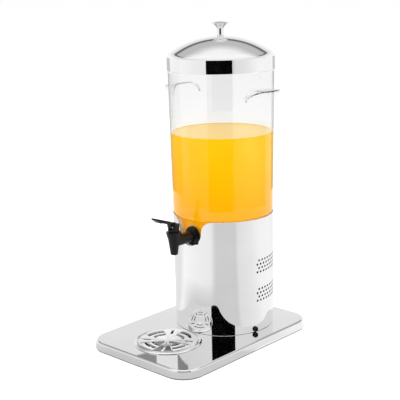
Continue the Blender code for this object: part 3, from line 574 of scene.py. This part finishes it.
def radial_place(turn, height):
    """A place on the shell whose Z points straight out. The turn runs from the front towards +X."""
    out = Vector((math.sin(turn), -math.cos(turn), 0))
    aim = out.to_track_quat("Z", "Y").to_matrix().to_4x4()
    return Matrix.Translation(Vector((0, TOWER_Y, height)) + out * SHELL_RADIUS) @ aim


GLAND_PLACE = radial_place(math.radians(78.6), TRAY_TOP + 0.0060)
SWITCH_Z = TRAY_TOP + 0.050


def build_shell():
    inner, low, lip = SHELL_RADIUS - 0.001, TRAY_TOP + 0.0003, 0.0004
    profile = [(inner, low), (SHELL_RADIUS - lip, low), (SHELL_RADIUS, low + lip)]
    profile += [(SHELL_RADIUS, low + (SHELL_TOP - low) * i / 12) for i in range(1, 12)]
    profile += [(SHELL_RADIUS, SHELL_TOP - lip), (SHELL_RADIUS - lip, SHELL_TOP)]
    profile += [(inner + lip, SHELL_TOP), (inner, SHELL_TOP - lip)]
    shell = to_object("tower_shell_sheet", lathe(profile, 256, (0, TOWER_Y)), POLISHED)
    combine(shell, prism_y(notch_outline(), TOWER_Y - 0.12, TOWER_Y - 0.05))
    vents = bmesh.new()
    pitch, first, row_step, hole = math.radians(5.2), math.radians(82.5), 0.0076, 0.0023
    for top in (TRAY_TOP + 0.142, TRAY_TOP + 0.0848):
        for row in range(4):
            start = first + (pitch / 2 if row % 2 == 0 else 0)
            for column in range(9):
                place = radial_place(start + column * pitch, top - row_step * row)
                cylinder(vents, hole, 0.006, place, 20)
    combine(shell, vents)
    combine(shell, rod(0.0042, 0.01, GLAND_PLACE, 32))
    rear, half_width, half_height = TOWER_Y + SHELL_RADIUS, 0.0068, 0.0098
    low_corner = (-half_width, rear - 0.006, SWITCH_Z - half_height)
    combine(shell, box(low_corner, (half_width, rear + 0.004, SWITCH_Z + half_height)))
    smooth(shell.data, 30)
    upright_normals(shell, TOWER_Y)
    # The inside faces take the darkened steel, painted shade inside the tower
    shell.data.materials.append(DULL_SHADED_STEEL)
    for face in shell.data.polygons:
        if math.hypot(face.center.x, face.center.y - TOWER_Y) < SHELL_RADIUS - 0.0003:
            face.material_index = 1
    finish(shell, "base", "mirror_steel", "tower_shell")


def build_liner():
    outer, inner, low, high = 0.0961, 0.0872, 0.1683, SHELL_TOP - 0.0015
    profile = [(inner, low), (outer, low), (outer, high), (outer - 0.0006, high)]
    profile += [(outer - 0.0015, high), (inner + 0.0004, high - 0.0071), (inner, high - 0.0079)]
    liner = to_object("liner_sleeve", lathe(profile, ROUND, (0, TOWER_Y)), LINER)
    combine(liner, prism_y(notch_outline(), TOWER_Y - 0.12, TOWER_Y - 0.05))
    combine(liner, rod(0.0192, 0.07, Matrix.Translation((0, BOSS_FACE_Y, TAP_Z)) @ ALONG_Y, 64))
    smooth(liner.data, 30)
    finish(liner, "base", "liner_plastic", "insulation_liner")


def build_gland():
    profile = [(0.0023, -0.004), (0.0038, -0.004), (0.0038, 0.0003), (0.0052, 0.0003), (0.0054, 0.0006)]
    profile += arc((0.0042, 0.0022), 0.0011, -10, 90, 6)
    profile += [(0.0036, 0.0044), (0.0027, 0.0046), (0.0023, 0.0042)]
    bm = lathe(profile, 48)
    bmesh.ops.transform(bm, matrix=GLAND_PLACE, verts=bm.verts)
    gland = to_object("cord_gland_bushing", bm, BLACK)
    finish(gland, "base", "black_plastic", "cord_gland")


def build_switch():
    face = TOWER_Y + SHELL_RADIUS
    outline = round_rectangle(0.0166, 0.0230, 0.0014, 6)
    bm = loft([[(x, y, SWITCH_Z + z) for x, z in outline] for y in (face + 0.0003, face + 0.0020)])
    bezel = to_object("switch_bezel_frame", bm, BLACK)
    body = box((-0.0064, face - 0.012, SWITCH_Z - 0.0094), (0.0064, face + 0.001, SWITCH_Z + 0.0094))
    combine(bezel, body, "UNION")
    well = box((-0.0052, face - 0.0085, SWITCH_Z - 0.0082), (0.0052, face + 0.004, SWITCH_Z + 0.0082))
    combine(bezel, well)
    soften(bezel, 0.00035, 3, 50)
    finish(bezel, "base", "black_plastic", "switch_bezel")

    side = [(-0.0070, 0.0010), (-0.0066, -0.0022), (0, -0.0030), (0.0066, -0.0022), (0.0070, 0.0044)]
    side += [(0.0035, 0.0029), (0, 0.0022), (-0.0035, 0.0017)]
    bm = loft([[(x, face - 0.0005 + y, SWITCH_Z + z) for z, y in side] for x in (-0.0048, 0.0048)])
    rocker = to_object("switch_rocker_cap", bm, BLACK)
    soften(rocker, 0.0004, 3, 25)
    finish(rocker, "switch", "black_plastic", "switch_rocker")


def build_feet():
    profile = [(0.0046, 0.0003), (0.0050, 0), (0.0102, 0), (0.0110, 0.0005), (0.0119, 0.0022)]
    profile += [(0.0120, 0.0028), (0.0120, 0.0039), (0.0022, 0.0039), (0.0022, 0.0028), (0.0046, 0.0028)]
    for end, y in (("front", -0.150), ("rear", 0.150)):
        for side, x in (("left", -0.098), ("right", 0.098)):
            foot = to_object(f"rubber_foot_{end}_{side}", lathe(profile, 48, (x, y)), RUBBER)
            finish(foot, "base", "rubber", f"foot_{end}_{side}")


# Container

PLUG_RADIUS = 0.0864
SHOULDER_RADIUS = 0.0971
SHOULDER_Z = 0.246
MOUTH_RADIUS = 0.1008
MOUTH_Z = 0.524
WALL = 0.003
# Close steps above the shoulder, which keep its shading off the tall straight wall
LOW_WALL = (0.249, 0.254, 0.265)


def wall_radius(height):
    share = (height - SHOULDER_Z) / (MOUTH_Z - SHOULDER_Z)
    return SHOULDER_RADIUS + (MOUTH_RADIUS - SHOULDER_RADIUS) * share


def shoulder(offset, steps=14):
    """(radius, height) points up the swell from the plug to the wall, set in by an offset."""
    low = SHELL_TOP - 0.010
    points = []
    for i in range(steps + 1):
        swell = (1 - math.cos(math.pi * i / steps)) / 2
        radius = PLUG_RADIUS + (SHOULDER_RADIUS - PLUG_RADIUS) * swell
        points.append((radius - offset, low + (SHOULDER_Z - low) * i / steps))
    return points


def build_container():
    foot, base = PLUG_RADIUS - 0.0006, 0.173
    outer = [(0, base)] + arc((foot - 0.004, base + 0.004), 0.004, -90, 0, 8)
    outer += [(foot + 0.0006 * i / 6, base + 0.004 + 0.054 * i / 6) for i in range(1, 6)]
    outer += shoulder(0)
    levels = LOW_WALL + (0.30, 0.36, 0.42, 0.48, MOUTH_Z - 0.003, MOUTH_Z - 0.0018)
    outer += [(wall_radius(z), z) for z in levels]
    outer += arc((wall_radius(MOUTH_Z) - 0.0012, MOUTH_Z - 0.0012), 0.0012, 10, 90, 5)
    outer += arc((wall_radius(MOUTH_Z) - WALL + 0.0012, MOUTH_Z - 0.0012), 0.0012, 90, 170, 5)
    inner = [(wall_radius(z) - WALL, z) for z in reversed(levels)]
    inner += reversed(shoulder(WALL))
    inner += [(foot - WALL + 0.0006 * i / 6, base + 0.008 + 0.050 * i / 6) for i in (4, 2)]
    inner += arc((foot - WALL - 0.004, base + 0.008), 0.004, 0, -90, 8) + [(0, base + 0.004)]
    container = to_object("container_vessel", lathe(outer + inner, 256, (0, TOWER_Y)), CLEAR, 40)
    boss = (0.0205, 0.0065, BOSS_FACE_Y + 0.0023, "UNION")
    face = (0.0220, 0.010, BOSS_FACE_Y - 0.005, "DIFFERENCE")
    hole = (0.0084, 0.030, BOSS_FACE_Y, "DIFFERENCE")
    for radius, depth, y, operation in (boss, face, hole):
        tool = rod(radius, depth, Matrix.Translation((0, y, TAP_Z)) @ ALONG_Y, 96)
        combine(container, tool, operation)
    smooth(container.data, 40)
    finish(container, "container", "clear_plastic", "container")


def build_juice():
    """The drink fills the vessel up to JUICE_TOP, with a meniscus at the wall."""
    gap = WALL - 0.0003
    foot = PLUG_RADIUS - 0.0006 - gap
    profile = [(0, 0.1773)] + arc((foot - 0.004, 0.1813), 0.004, -90, 0, 6)
    profile += [(foot + 0.0004, 0.21), (foot + 0.0006, 0.228)] + shoulder(gap)
    levels = LOW_WALL + (0.33, 0.37, JUICE_TOP - 0.001, JUICE_TOP + 0.0011)
    profile += [(wall_radius(z) - gap, z) for z in levels]
    edge = wall_radius(JUICE_TOP) - gap
    profile += [(edge - 0.0006, JUICE_TOP + 0.0005), (edge - 0.0020, JUICE_TOP + 0.0001)]
    profile += [(edge - 0.005, JUICE_TOP)]
    profile += [(0.06, JUICE_TOP), (0.03, JUICE_TOP), (0, JUICE_TOP)]
    juice = to_object("orange_juice", lathe(profile, ROUND, (0, TOWER_Y)), JUICE)
    juice.data.materials.append(JUICE_SURFACE)
    cut = bmesh.new()
    boss, nut, shank = (0.0209, 0.02, 0.0058, 64), (0.0165, 0.02, 0.0154, 48), (0.0085, 0.04, 0.0195, 48)
    for radius, depth, reach, segments in (boss, nut, shank):
        place = Matrix.Translation((0, BOSS_FACE_Y + reach - depth / 2, TAP_Z))
        cylinder(cut, radius, depth, place @ ALONG_Y, segments)
    combine(juice, cut)
    for face in juice.data.polygons:
        if face.normal.z > 0.5 and face.center.z > JUICE_TOP - 0.002:
            face.material_index = 1
    smooth(juice.data, 35)
    finish(juice, "container", "clear_plastic")


def grip_point(t, s, side):
    """A point of a grip's shelf: t runs along it from -1 to 1, and s runs out from the wall, 0 to 1."""
    height = TRAY_TOP + 0.448 + 0.0193 * max(0.0, 1 - abs(t) ** 4) ** 0.45
    reach = 0.0030 + 0.021 * max(0.0, 1 - abs(t) ** 2.6) ** 0.5
    radius = wall_radius(height) + 0.0004 + s * reach
    turn = t * math.radians(23.5)
    return (side * radius * math.cos(turn), TOWER_Y + radius * math.sin(turn), height - 0.0012 * s * s)


def build_grips():
    across, out = 56, 8
    for name, side in (("right", 1), ("left", -1)):
        bm = bmesh.new()
        turns = [math.sin(math.pi * (i / across - 0.5)) for i in range(across + 1)]
        rows = [[bm.verts.new(grip_point(t, j / out, side)) for t in turns] for j in range(out + 1)]
        for low, high in zip(rows, rows[1:]):
            for i in range(across):
                corners = [low[i], low[i + 1], high[i + 1], high[i]]
                bm.faces.new(corners if side < 0 else corners[::-1])
        mesh = bpy.data.meshes.new("grip_shelf_" + name)
        bm.to_mesh(mesh)
        bm.free()
        grip = bpy.data.objects.new("grip_shelf_" + name, mesh)
        bpy.context.scene.collection.objects.link(grip)
        mesh.materials.append(CLEAR_EDGE)
        thick = grip.modifiers.new("thick", "SOLIDIFY")
        thick.thickness = 0.0022
        thick.offset = -1
        settle(grip)
        soften(grip, 0.0005, 3, 50)
        finish(grip, "container", "clear_plastic", "grip_" + name)


# Tap

COIL_RADIUS = 0.0045
COIL_WIRE = 0.00045
COIL_TURNS = 4


def build_tap_body():
    low = SPOUT_BOTTOM
    curve = smooth_curve([(0.0071, low + 0.0012), (0.0088, low + 0.0145), (0.0110, low + 0.0300)], 8)
    spout = [(0, low), (0.0062, low)] + curve + [(0.0128, low + 0.0355), (0.0139, low + 0.0400)]
    spout += arc((0.0132, low + 0.0422), 0.0012, -45, 0, 3)
    spout += [(0.0144, COLLAR_TOP - 0.0008), (0.0136, COLLAR_TOP), (0, COLLAR_TOP)]
    body = to_object("tap_moulding", lathe(spout, 96, (0, SPOUT_Y)), BLACK)
    back = BOSS_FACE_Y - 0.0014
    shank = [(0, SPOUT_Y), (0.0108, SPOUT_Y), (0.0106, back - 0.0200), (0.0105, back - 0.0068)]
    shank += arc((0.0127, back - 0.0062), 0.0022, 180, 90, 6)
    shank += [(0.0168, back - 0.0040), (0.0180, back - 0.0036), (0.0184, back - 0.0028), (0.0184, back)]
    shank += [(0.0080, back), (0.0080, BOSS_FACE_Y + 0.0190), (0, BOSS_FACE_Y + 0.0190)]
    combine(body, lathe_y(shank), "UNION")
    bore = [(0, low - 0.002), (0.0052, low - 0.002), (0.0052, low + 0.0150), (0.0074, low + 0.0165)]
    bore += [(0.0074, COLLAR_TOP - 0.0050), (0.0106, COLLAR_TOP - 0.0050), (0.0106, COLLAR_TOP + 0.002)]
    combine(body, lathe(bore + [(0, COLLAR_TOP + 0.002)], 64, (0, SPOUT_Y)))
    near, far = SPOUT_Y + 0.002, BOSS_FACE_Y + 0.03
    feed = [(0, near), (0.0050, near), (0.0050, far), (0, far)]
    combine(body, lathe_y(feed, 48))
    soften(body, 0.0004, 3, 35)
    finish(body, "container", "black_plastic", "tap_body")


def build_bonnet():
    foot, step, top = COLLAR_TOP - 0.0046, COLLAR_TOP + 0.0003, TRAY_TOP + 0.226
    profile = [(0.0023, foot), (0.0100, foot), (0.0100, step), (0.0102, step + 0.0010)]
    profile += [(0.0108, top - 0.0090), (0.0115, top - 0.0030), (0.0108, top), (0.0023, top)]
    bonnet = to_object("tap_bonnet_cap", lathe(profile, 96, (0, SPOUT_Y)), BLACK)
    slot = TRAY_TOP + 0.215
    combine(bonnet, box((-0.0046, SPOUT_Y - 0.02, slot), (0.0046, SPOUT_Y + 0.02, top + 0.01)))
    combine(bonnet, rod(0.0018, 0.03, Matrix.Translation(LEVER_PIN) @ ALONG_X, 32))
    soften(bonnet, 0.0004, 3, 35)
    finish(bonnet, "container", "black_plastic", "tap_bonnet")


def lever_point(x, along, above):
    """A point of the lever from its pin: along runs up towards its tip, above is square to that."""
    slope = math.radians(19)
    y = -along * math.cos(slope) + above * math.sin(slope)
    return tuple(LEVER_PIN + Vector((x, y, along * math.sin(slope) + above * math.cos(slope))))


def build_lever():
    top, thick = 0.0098, 0.0059
    stations = ((0.0058, 0.0070, thick), (0.0064, 0.0078, thick), (0.0076, 0.0084, thick))
    stations += ((0.0100, 0.0087, thick), (0.0330, 0.0087, thick))
    stations += ((0.0335, 0.0087, thick + 0.0010), (0.0348, 0.0087, 0.0064))
    stations += ((0.0370, 0.0086, 0.0055), (0.0390, 0.0085, 0.0050), (0.0420, 0.0082, 0.0043))
    stations += ((0.0450, 0.0074, 0.0036), (0.0466, 0.0065, 0.0032), (0.0478, 0.0050, 0.0028))
    stations += ((0.0484, 0.0036, 0.0025), (0.0487, 0.0020, 0.0022))
    rings = []
    for along, half, depth in stations:
        edge = 0.0008
        ring = arc((half - edge, top - edge), edge, 90, 0, 4)
        ring += arc((half - edge, top - depth + edge), edge, 0, -90, 4)
        ring += [(-x, above) for x, above in reversed(ring)]
        rings.append([lever_point(x, along, above) for x, above in ring])
    lever = to_object("tap_lever_bar", loft(rings), BLACK)

    low = -0.0030
    side = [(0.0100, top - 0.0008), (-0.0160, top - 0.0008), (-0.0165, 0.0034), (-0.0122, 0.0012)]
    side += [(-0.0010, low), (0.0018, low), (0.0040, 0.0010)]
    side += [(0.0065, top - thick + 0.0010), (0.0100, top - thick + 0.0010)]
    tongue = loft([[lever_point(x, along, above) for along, above in side] for x in (-0.0042, 0.0042)])
    combine(lever, tongue, "UNION")
    bar_z = LEVER_PIN.z + 0.0005
    combine(lever, rod(0.00158, 0.03, Matrix.Translation(LEVER_PIN) @ ALONG_X, 24))
    bar_top = bar_z + 0.0013
    combine(lever, box((-0.02, SPOUT_Y - 0.0015, bar_z - 0.0013), (0.02, SPOUT_Y + 0.0025, bar_top)))
    combine(lever, box((-0.0025, SPOUT_Y - 0.0036, bar_z - 0.02), (0.0025, SPOUT_Y + 0.02, bar_top)))
    soften(lever, 0.0004, 2, 40)
    finish(lever, "tap_lever", "black_plastic", "tap_lever")


def build_spring():
    """The coil that closes the tap, wound between the ends of the CAD spring."""
    low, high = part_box("tap_spring")
    foot, head = low.z + COIL_WIRE, high.z - COIL_WIRE
    steps = 24 * COIL_TURNS
    rings = []
    for i in range(steps + 1):
        turn = 2 * math.pi * COIL_TURNS * i / steps
        out = Vector((math.cos(turn), math.sin(turn), 0))
        centre = Vector((0, SPOUT_Y, foot + (head - foot) * i / steps)) + out * COIL_RADIUS
        section = arc((0, 0), COIL_WIRE, 0, 315, 7)
        rings.append([centre + out * across + Vector((0, 0, rise)) for across, rise in section])
    spring = finish(to_object("tap_coil", loft(rings), TURNED), "container", "plain_steel", "tap_spring")
    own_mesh(spring)


# Lid

BAND_RADIUS = 0.1022
BAND_TOP = TRAY_TOP + 0.5246
DOME_TOP = TRAY_TOP + 0.5621
LID_SHEET = 0.0009


def dome_points(steps, bend_steps):
    """(radius, height, slope) from the dome's top to the band: a wide cap, then a tighter shoulder."""
    cap, edge, bend, last = 0.178, 0.0955, 0.0144, math.radians(70)
    edge_slope = math.asin(edge / cap)
    slopes = [edge_slope * i / steps for i in range(1, steps + 1)]
    points = [(cap * math.sin(slope), DOME_TOP - cap * (1 - math.cos(slope)), slope) for slope in slopes]
    radius, height, _ = points[-1]
    for i in range(1, bend_steps + 1):
        slope = edge_slope + (last - edge_slope) * i / bend_steps
        out = bend * (math.sin(slope) - math.sin(edge_slope))
        down = bend * (math.cos(edge_slope) - math.cos(slope))
        points.append((radius + out, height - down, slope))
    return points


def build_lid():
    """An upright band and a dome as wide as the band, with many points, so that it mirrors cleanly."""
    low, hole = TRAY_TOP + 0.4995, 0.0026
    dome = dome_points(32, 14)
    band = [BAND_TOP - low - 0.0002, 0.019, 0.012, 0.006, 0.0003]
    outer = [(BAND_RADIUS - 0.0003, low)] + [(BAND_RADIUS, low + rise) for rise in reversed(band)]
    outer += [(BAND_RADIUS - 0.0001, BAND_TOP + 0.0001)]
    outer += [(radius, height) for radius, height, _ in reversed(dome)] + [(hole, DOME_TOP)]
    inner = [(hole, DOME_TOP - LID_SHEET)]
    for radius, height, slope in dome:
        inner.append((radius - LID_SHEET * math.sin(slope), height - LID_SHEET * math.cos(slope)))
    inner += [(BAND_RADIUS - LID_SHEET, BAND_TOP - LID_SHEET / 2), (BAND_RADIUS - LID_SHEET, low)]
    lid = to_object("lid_pressing", lathe(outer + inner, 256, (0, TOWER_Y)), SPUN, 14)
    upright_normals(lid, TOWER_Y)
    finish(lid, "lid", "mirror_steel", "lid")


def build_knob():
    low, top, stem = DOME_TOP + 0.0003, TRAY_TOP + 0.5885, 0.0068
    cone = [(stem, top - 0.0132), (0.0076, top - 0.0112), (0.0099, top - 0.0090), (0.0130, top - 0.0062)]
    cone += [(0.0154, top - 0.0044), (0.0163, top - 0.0038)]
    profile = [(0, low + 0.014), (0.0021, low + 0.014), (0.0021, low), (stem + 0.0005, low)]
    profile += [(stem + 0.0001, low + 0.0006)] + [(stem, low + rise) for rise in (0.0012, 0.006, 0.010)]
    profile += smooth_curve(cone, 5) + arc((0.0162, top - 0.0031), 0.0007, -45, 72, 5)
    crown = 0.048
    crown_radii = [0.0161 * i / 8 for i in range(8, 0, -1)]
    profile += [(radius, top - crown + math.sqrt(crown**2 - radius**2)) for radius in crown_radii]
    profile += [(0, top)]
    knob = to_object("lid_knob_turned", lathe(profile, 96, (0, TOWER_Y)), SPUN, 50)
    upright_normals(knob, TOWER_Y)
    finish(knob, "lid", "mirror_steel", "lid_knob")


# Studio

CAMERA_PLACE = Vector((1.18957, -1.27238, 0.69692))
CAMERA_AHEAD = Vector((-0.66334, 0.71035, -0.23531))
CAMERA_RIGHT = Vector((0.7309, 0.6825, 0))
CAMERA_ROLL = math.radians(-1.24)
CAMERA_LENS = 84.87
# Degrees from the front towards +X. The turns of the cards and tones below start from here.
CAMERA_TURN = 41.6

FLOOR_REACH = 30
GROUND_NEAR = 0.15
GROUND_HEIGHT = 0.0010
SHADE_REACH = 0.35
LAMP_AIM = Vector((0, TOWER_Y, 0.3))
LAMP_SIZE = 1.4
WHITE = (1, 1, 1, 1)

# Turn about the tower, in degrees, and the tone that the metal mirrors there
GROUND_TONES = ((-180, 0.86), (-112, 0.86), (-95, 1.06), (-60, 0.98), (-28, 0.93), (-17, 0.69))
GROUND_TONES += ((25, 0.69), (31, 0.83), (60, 0.91), (85, 1.03), (120, 1.05), (180, 0.86))
# The tone of the painted shadow on the ground close to the tray, as the metal mirrors it
TRAY_SHADOW_TONE = (0.64, 0.64, 0.64)

# Elevation in degrees and the tone that the metal mirrors there, away from the camera and on its side
SKY_BEHIND = ((-90, 1.0), (12, 1.02), (18, 0.90), (25, 0.80), (28.5, 0.14), (31.5, 0.14), (35, 0.56))
SKY_BEHIND += ((46, 0.57), (51, 0.68), (55, 0.80), (60, 0.98), (66, 1.03), (90, 1.08))
SKY_IN_FRONT = ((-90, 0.9), (8, 0.90), (22, 0.84), (30, 0.93), (43, 1.06), (90, 1.08))


def glossy_only(obj):
    """Seen only in reflections: a card that shapes them and stays out of the picture."""
    obj.visible_camera = False
    obj.visible_diffuse = False
    obj.visible_transmission = False
    obj.visible_volume_scatter = False
    obj.visible_shadow = False
    return obj


def matt(name, low, high):
    """A plain matt surface whose colour drifts slowly between two near tones."""
    n = Nodes(name)
    n.shader.inputs["Roughness"].default_value = 0.9
    n.shader.inputs["Specular IOR Level"].default_value = 0.0
    n.shader.inputs["Emission Color"].default_value = WHITE
    n.plug(n.blend(n.between(n.noise(n.place(), 1.5), 0, 1), low, high), "Base Color")
    return n


def flat_look(name, colour, glow=0.0):
    """A plain card or floor. The glow keeps it from falling under its own tone in shade."""
    n = matt(name, shade(colour, 0.99), shade(colour, 1.01))
    n.shader.inputs["Emission Strength"].default_value = glow
    return n.material


def mirror_black(name):
    """Black in a mirror, and as white as the studio when seen straight through the clear container."""
    n = matt(name, (0.0003, 0.0003, 0.0003), (0.0005, 0.0005, 0.0005))
    depth = n.add("ShaderNodeLightPath").outputs["Glossy Depth"]
    straight = n.add("ShaderNodeMath", {0: depth, 1: 0.5}, operation="LESS_THAN")
    n.plug(straight.outputs["Value"], "Emission Strength")
    return n.material


def strip(inner, outer):
    """A strip of faces between two lines with the same number of points."""
    bm = bmesh.new()
    inner, outer = [[bm.verts.new(point) for point in line] for line in (inner, outer)]
    for i in range(len(inner) - 1):
        bm.faces.new((inner[i], inner[i + 1], outer[i + 1], outer[i]))
    return bm


def curved_card(name, radius, start, end, low, high, look):
    """An upright card on an arc about the tower. Turns run from the camera's side, towards +X."""
    turns = [math.radians(CAMERA_TURN + start + (end - start) * i / 24) for i in range(25)]
    line = [(radius * math.sin(t), TOWER_Y - radius * math.cos(t)) for t in turns]
    lines = [[(x, y, z) for x, y in line] for z in (low, high)]
    return glossy_only(to_object(name, strip(*lines), look))


def ground_card(name, near, far, start, end, look, height):
    """A flat card on the floor, between two distances from the tower. Its own +X is to the camera."""
    turns = [math.radians(start + (end - start) * i / 32) for i in range(33)]
    lines = [[(radius * math.cos(t), radius * math.sin(t), 0) for t in turns] for radius in (near, far)]
    card = to_object(name, strip(*lines), look)
    turned = Matrix.Rotation(math.radians(CAMERA_TURN - 90), 4, "Z")
    card.matrix_world = Matrix.Translation((0, TOWER_Y, height)) @ turned
    return glossy_only(card)


def build_world():
    """White light all round. Reflections see a pale backdrop with a dark top edge, under a sky that
    brightens overhead."""
    world = bpy.data.worlds.new("studio")
    bpy.context.scene.world = world
    world.use_nodes = True
    tree = world.node_tree
    here = add_node(tree, "ShaderNodeTexCoord").outputs["Generated"]
    split = add_node(tree, "ShaderNodeSeparateXYZ", {"Vector": here})
    rise = add_node(tree, "ShaderNodeMath", {0: split.outputs["Z"]}, operation="ARCSINE")
    inputs = {"Value": rise.outputs["Value"], "From Min": -math.pi / 2, "From Max": math.pi / 2}
    share = add_node(tree, "ShaderNodeMapRange", inputs).outputs["Result"]
    tones = []
    for stops in (SKY_BEHIND, SKY_IN_FRONT):
        tones.append(ramp_of(tree, share, [((degrees + 90) / 180, tone) for degrees, tone in stops]))
    turn = math.radians(CAMERA_TURN)
    to_camera = (math.sin(turn), -math.cos(turn), 0)
    side = add_node(tree, "ShaderNodeVectorMath", {0: here, 1: to_camera}, operation="DOT_PRODUCT")
    inputs = {"Value": side.outputs["Value"], "From Min": -0.20, "From Max": 0.10}
    front = add_node(tree, "ShaderNodeMapRange", inputs).outputs["Result"]
    both = add_node(tree, "ShaderNodeMix", {0: front, 6: tones[0], 7: tones[1]}, data_type="RGBA")
    sky = tree.nodes["Background"]
    tree.links.new(both.outputs[2], sky.inputs["Color"])
    paths = add_node(tree, "ShaderNodeLightPath").outputs
    inputs = {0: paths["Is Camera Ray"], 1: 0.35, 2: 1.0}
    seen = add_node(tree, "ShaderNodeMath", inputs, operation="MULTIPLY_ADD").outputs["Value"]
    plain = add_node(tree, "ShaderNodeBackground", {"Strength": seen})
    inputs = {0: paths["Is Glossy Ray"], 1: plain.outputs["Background"], 2: sky.outputs["Background"]}
    mix = add_node(tree, "ShaderNodeMixShader", inputs)
    tree.links.new(mix.outputs["Shader"], tree.nodes["World Output"].inputs["Surface"])


def ground_tones():
    """A glowing look whose tone changes with the turn about the tower. On one side it fades to a darker
    tone
    close to the tray: a painted contact shadow of the tray on the ground."""
    n = Nodes("ground_tones_look")
    n.shader.inputs["Base Color"].default_value = (0, 0, 0, 1)
    n.shader.inputs["Specular IOR Level"].default_value = 0.0
    n.shader.inputs["Emission Strength"].default_value = 1.0
    here = n.add("ShaderNodeTexCoord").outputs["Object"]
    split = n.add("ShaderNodeSeparateXYZ", {"Vector": here})
    turn = n.add("ShaderNodeMath", {0: split.outputs["Y"], 1: split.outputs["X"]}, operation="ARCTAN2")
    share = n.between(turn.outputs["Value"], 0, 1, -math.pi, math.pi)
    stops = [((degrees + 180) / 360, tone) for degrees, tone in GROUND_TONES]
    tones = ramp_of(n.tree, share, stops)
    # Painted contact shadow: a darker tone close to the tray, on the side from -98 to 8 degrees
    reach = n.add("ShaderNodeVectorMath", {0: here}, operation="LENGTH").outputs["Value"]
    near = n.between(reach, 1, 0, 0.28, 0.46)
    enter = n.between(turn.outputs["Value"], 0, 1, math.radians(-98), math.radians(-62))
    leave = n.between(turn.outputs["Value"], 1, 0, math.radians(-16), math.radians(8))
    sides = n.add("ShaderNodeMath", {0: enter, 1: leave}, operation="MULTIPLY").outputs["Value"]
    tray_shadow = n.add("ShaderNodeMath", {0: near, 1: sides}, operation="MULTIPLY").outputs["Value"]
    n.plug(n.blend(tray_shadow, tones, TRAY_SHADOW_TONE), "Emission Color")
    return n.material


def area_light(name, place, power):
    """A soft square lamp that faces the middle of the tower and stays out of every mirror."""
    data = bpy.data.lights.new(name, "AREA")
    data.shape = "RECTANGLE"
    data.size = data.size_y = LAMP_SIZE
    data.energy = power
    lamp = bpy.data.objects.new(name, data)
    lamp.location = place
    lamp.rotation_euler = (LAMP_AIM - Vector(place)).to_track_quat("-Z", "Y").to_euler()
    lamp.visible_glossy = False
    lamp.visible_transmission = False
    bpy.context.scene.collection.objects.link(lamp)


def build_floor():
    bm = bmesh.new()
    bmesh.ops.create_grid(bm, x_segments=8, y_segments=8, size=FLOOR_REACH)
    floor = to_object("studio_floor", bm, flat_look("floor_look", (0.42, 0.42, 0.42), 0.66))
    floor.visible_glossy = False


def build_cards():
    """What the metal mirrors, apart from the world: a black card on the camera's side, pale ground all
    round, and shade towards the tower's two edges. A dark plate under the tray is a painted contact
    shadow."""
    dark = curved_card("black_card", 1.02, -29.7, 22.8, 0.0, 0.60, mirror_black("black_card_look"))
    dark.visible_transmission = True
    tones = ground_tones()
    ground_card("ground_behind", GROUND_NEAR, 0.96, 100, 260, tones, GROUND_HEIGHT)
    ground_card("ground_in_front", GROUND_NEAR, 12.0, -100, 100, tones, GROUND_HEIGHT)
    sides = (("shade", 0.28, -88, 0.215, 0.480), ("shade_band", 0.62, -121, 0.485, 0.520))
    for name, glow, end, low, high in sides:
        look = flat_look(name + "_look", (0, 0, 0), glow)
        curved_card(name + "_left", SHADE_REACH, -152, end, low, high, look)
        curved_card(name + "_right", SHADE_REACH, 126, 152, low, high, look)
    # Painted contact shadow: a dark plate just inside the tray's outline, under it
    bm = bmesh.new()
    bm.faces.new([bm.verts.new(point) for point in tray_ring(0.0004, 0.0001)])
    contact = to_object("contact_shade", bm, flat_look("contact_shadow_look", (0.20, 0.20, 0.20)))
    contact.visible_glossy = False
    grey = flat_look("grey_card_look", (0.30, 0.30, 0.30))
    ground_card("front_flag", 1.04, 2.5, -110, 110, grey, 0.004)


def build_camera():
    """The camera as solved from the photo, with its small roll."""
    ahead = CAMERA_AHEAD.normalized()
    right = CAMERA_RIGHT.normalized()
    up = right.cross(ahead)
    across = right * math.cos(CAMERA_ROLL) + up * math.sin(CAMERA_ROLL)
    upright = up * math.cos(CAMERA_ROLL) - right * math.sin(CAMERA_ROLL)
    data = bpy.data.cameras.new("camera")
    data.lens = CAMERA_LENS
    data.sensor_width = 36
    camera = bpy.data.objects.new("camera", data)
    turn = Matrix((across, upright, -ahead)).transposed().to_4x4()
    camera.matrix_world = Matrix.Translation(CAMERA_PLACE) @ turn
    bpy.context.scene.collection.objects.link(camera)
    bpy.context.scene.camera = camera


dress_cad_nodes()
build_tray()
build_cup()
build_grille()
build_shell()
build_liner()
build_gland()
build_switch()
build_feet()
build_container()
build_juice()
build_grips()
build_tap_body()
build_bonnet()
build_lever()
build_spring()
build_lid()
build_knob()
build_world()
build_floor()
build_cards()
area_light("key_light", (-1.9, -0.9, 1.2), 78)
area_light("side_light", (2.0, 0.6, 1.1), 52)
build_camera()
bpy.context.scene.view_settings.view_transform = "Standard"
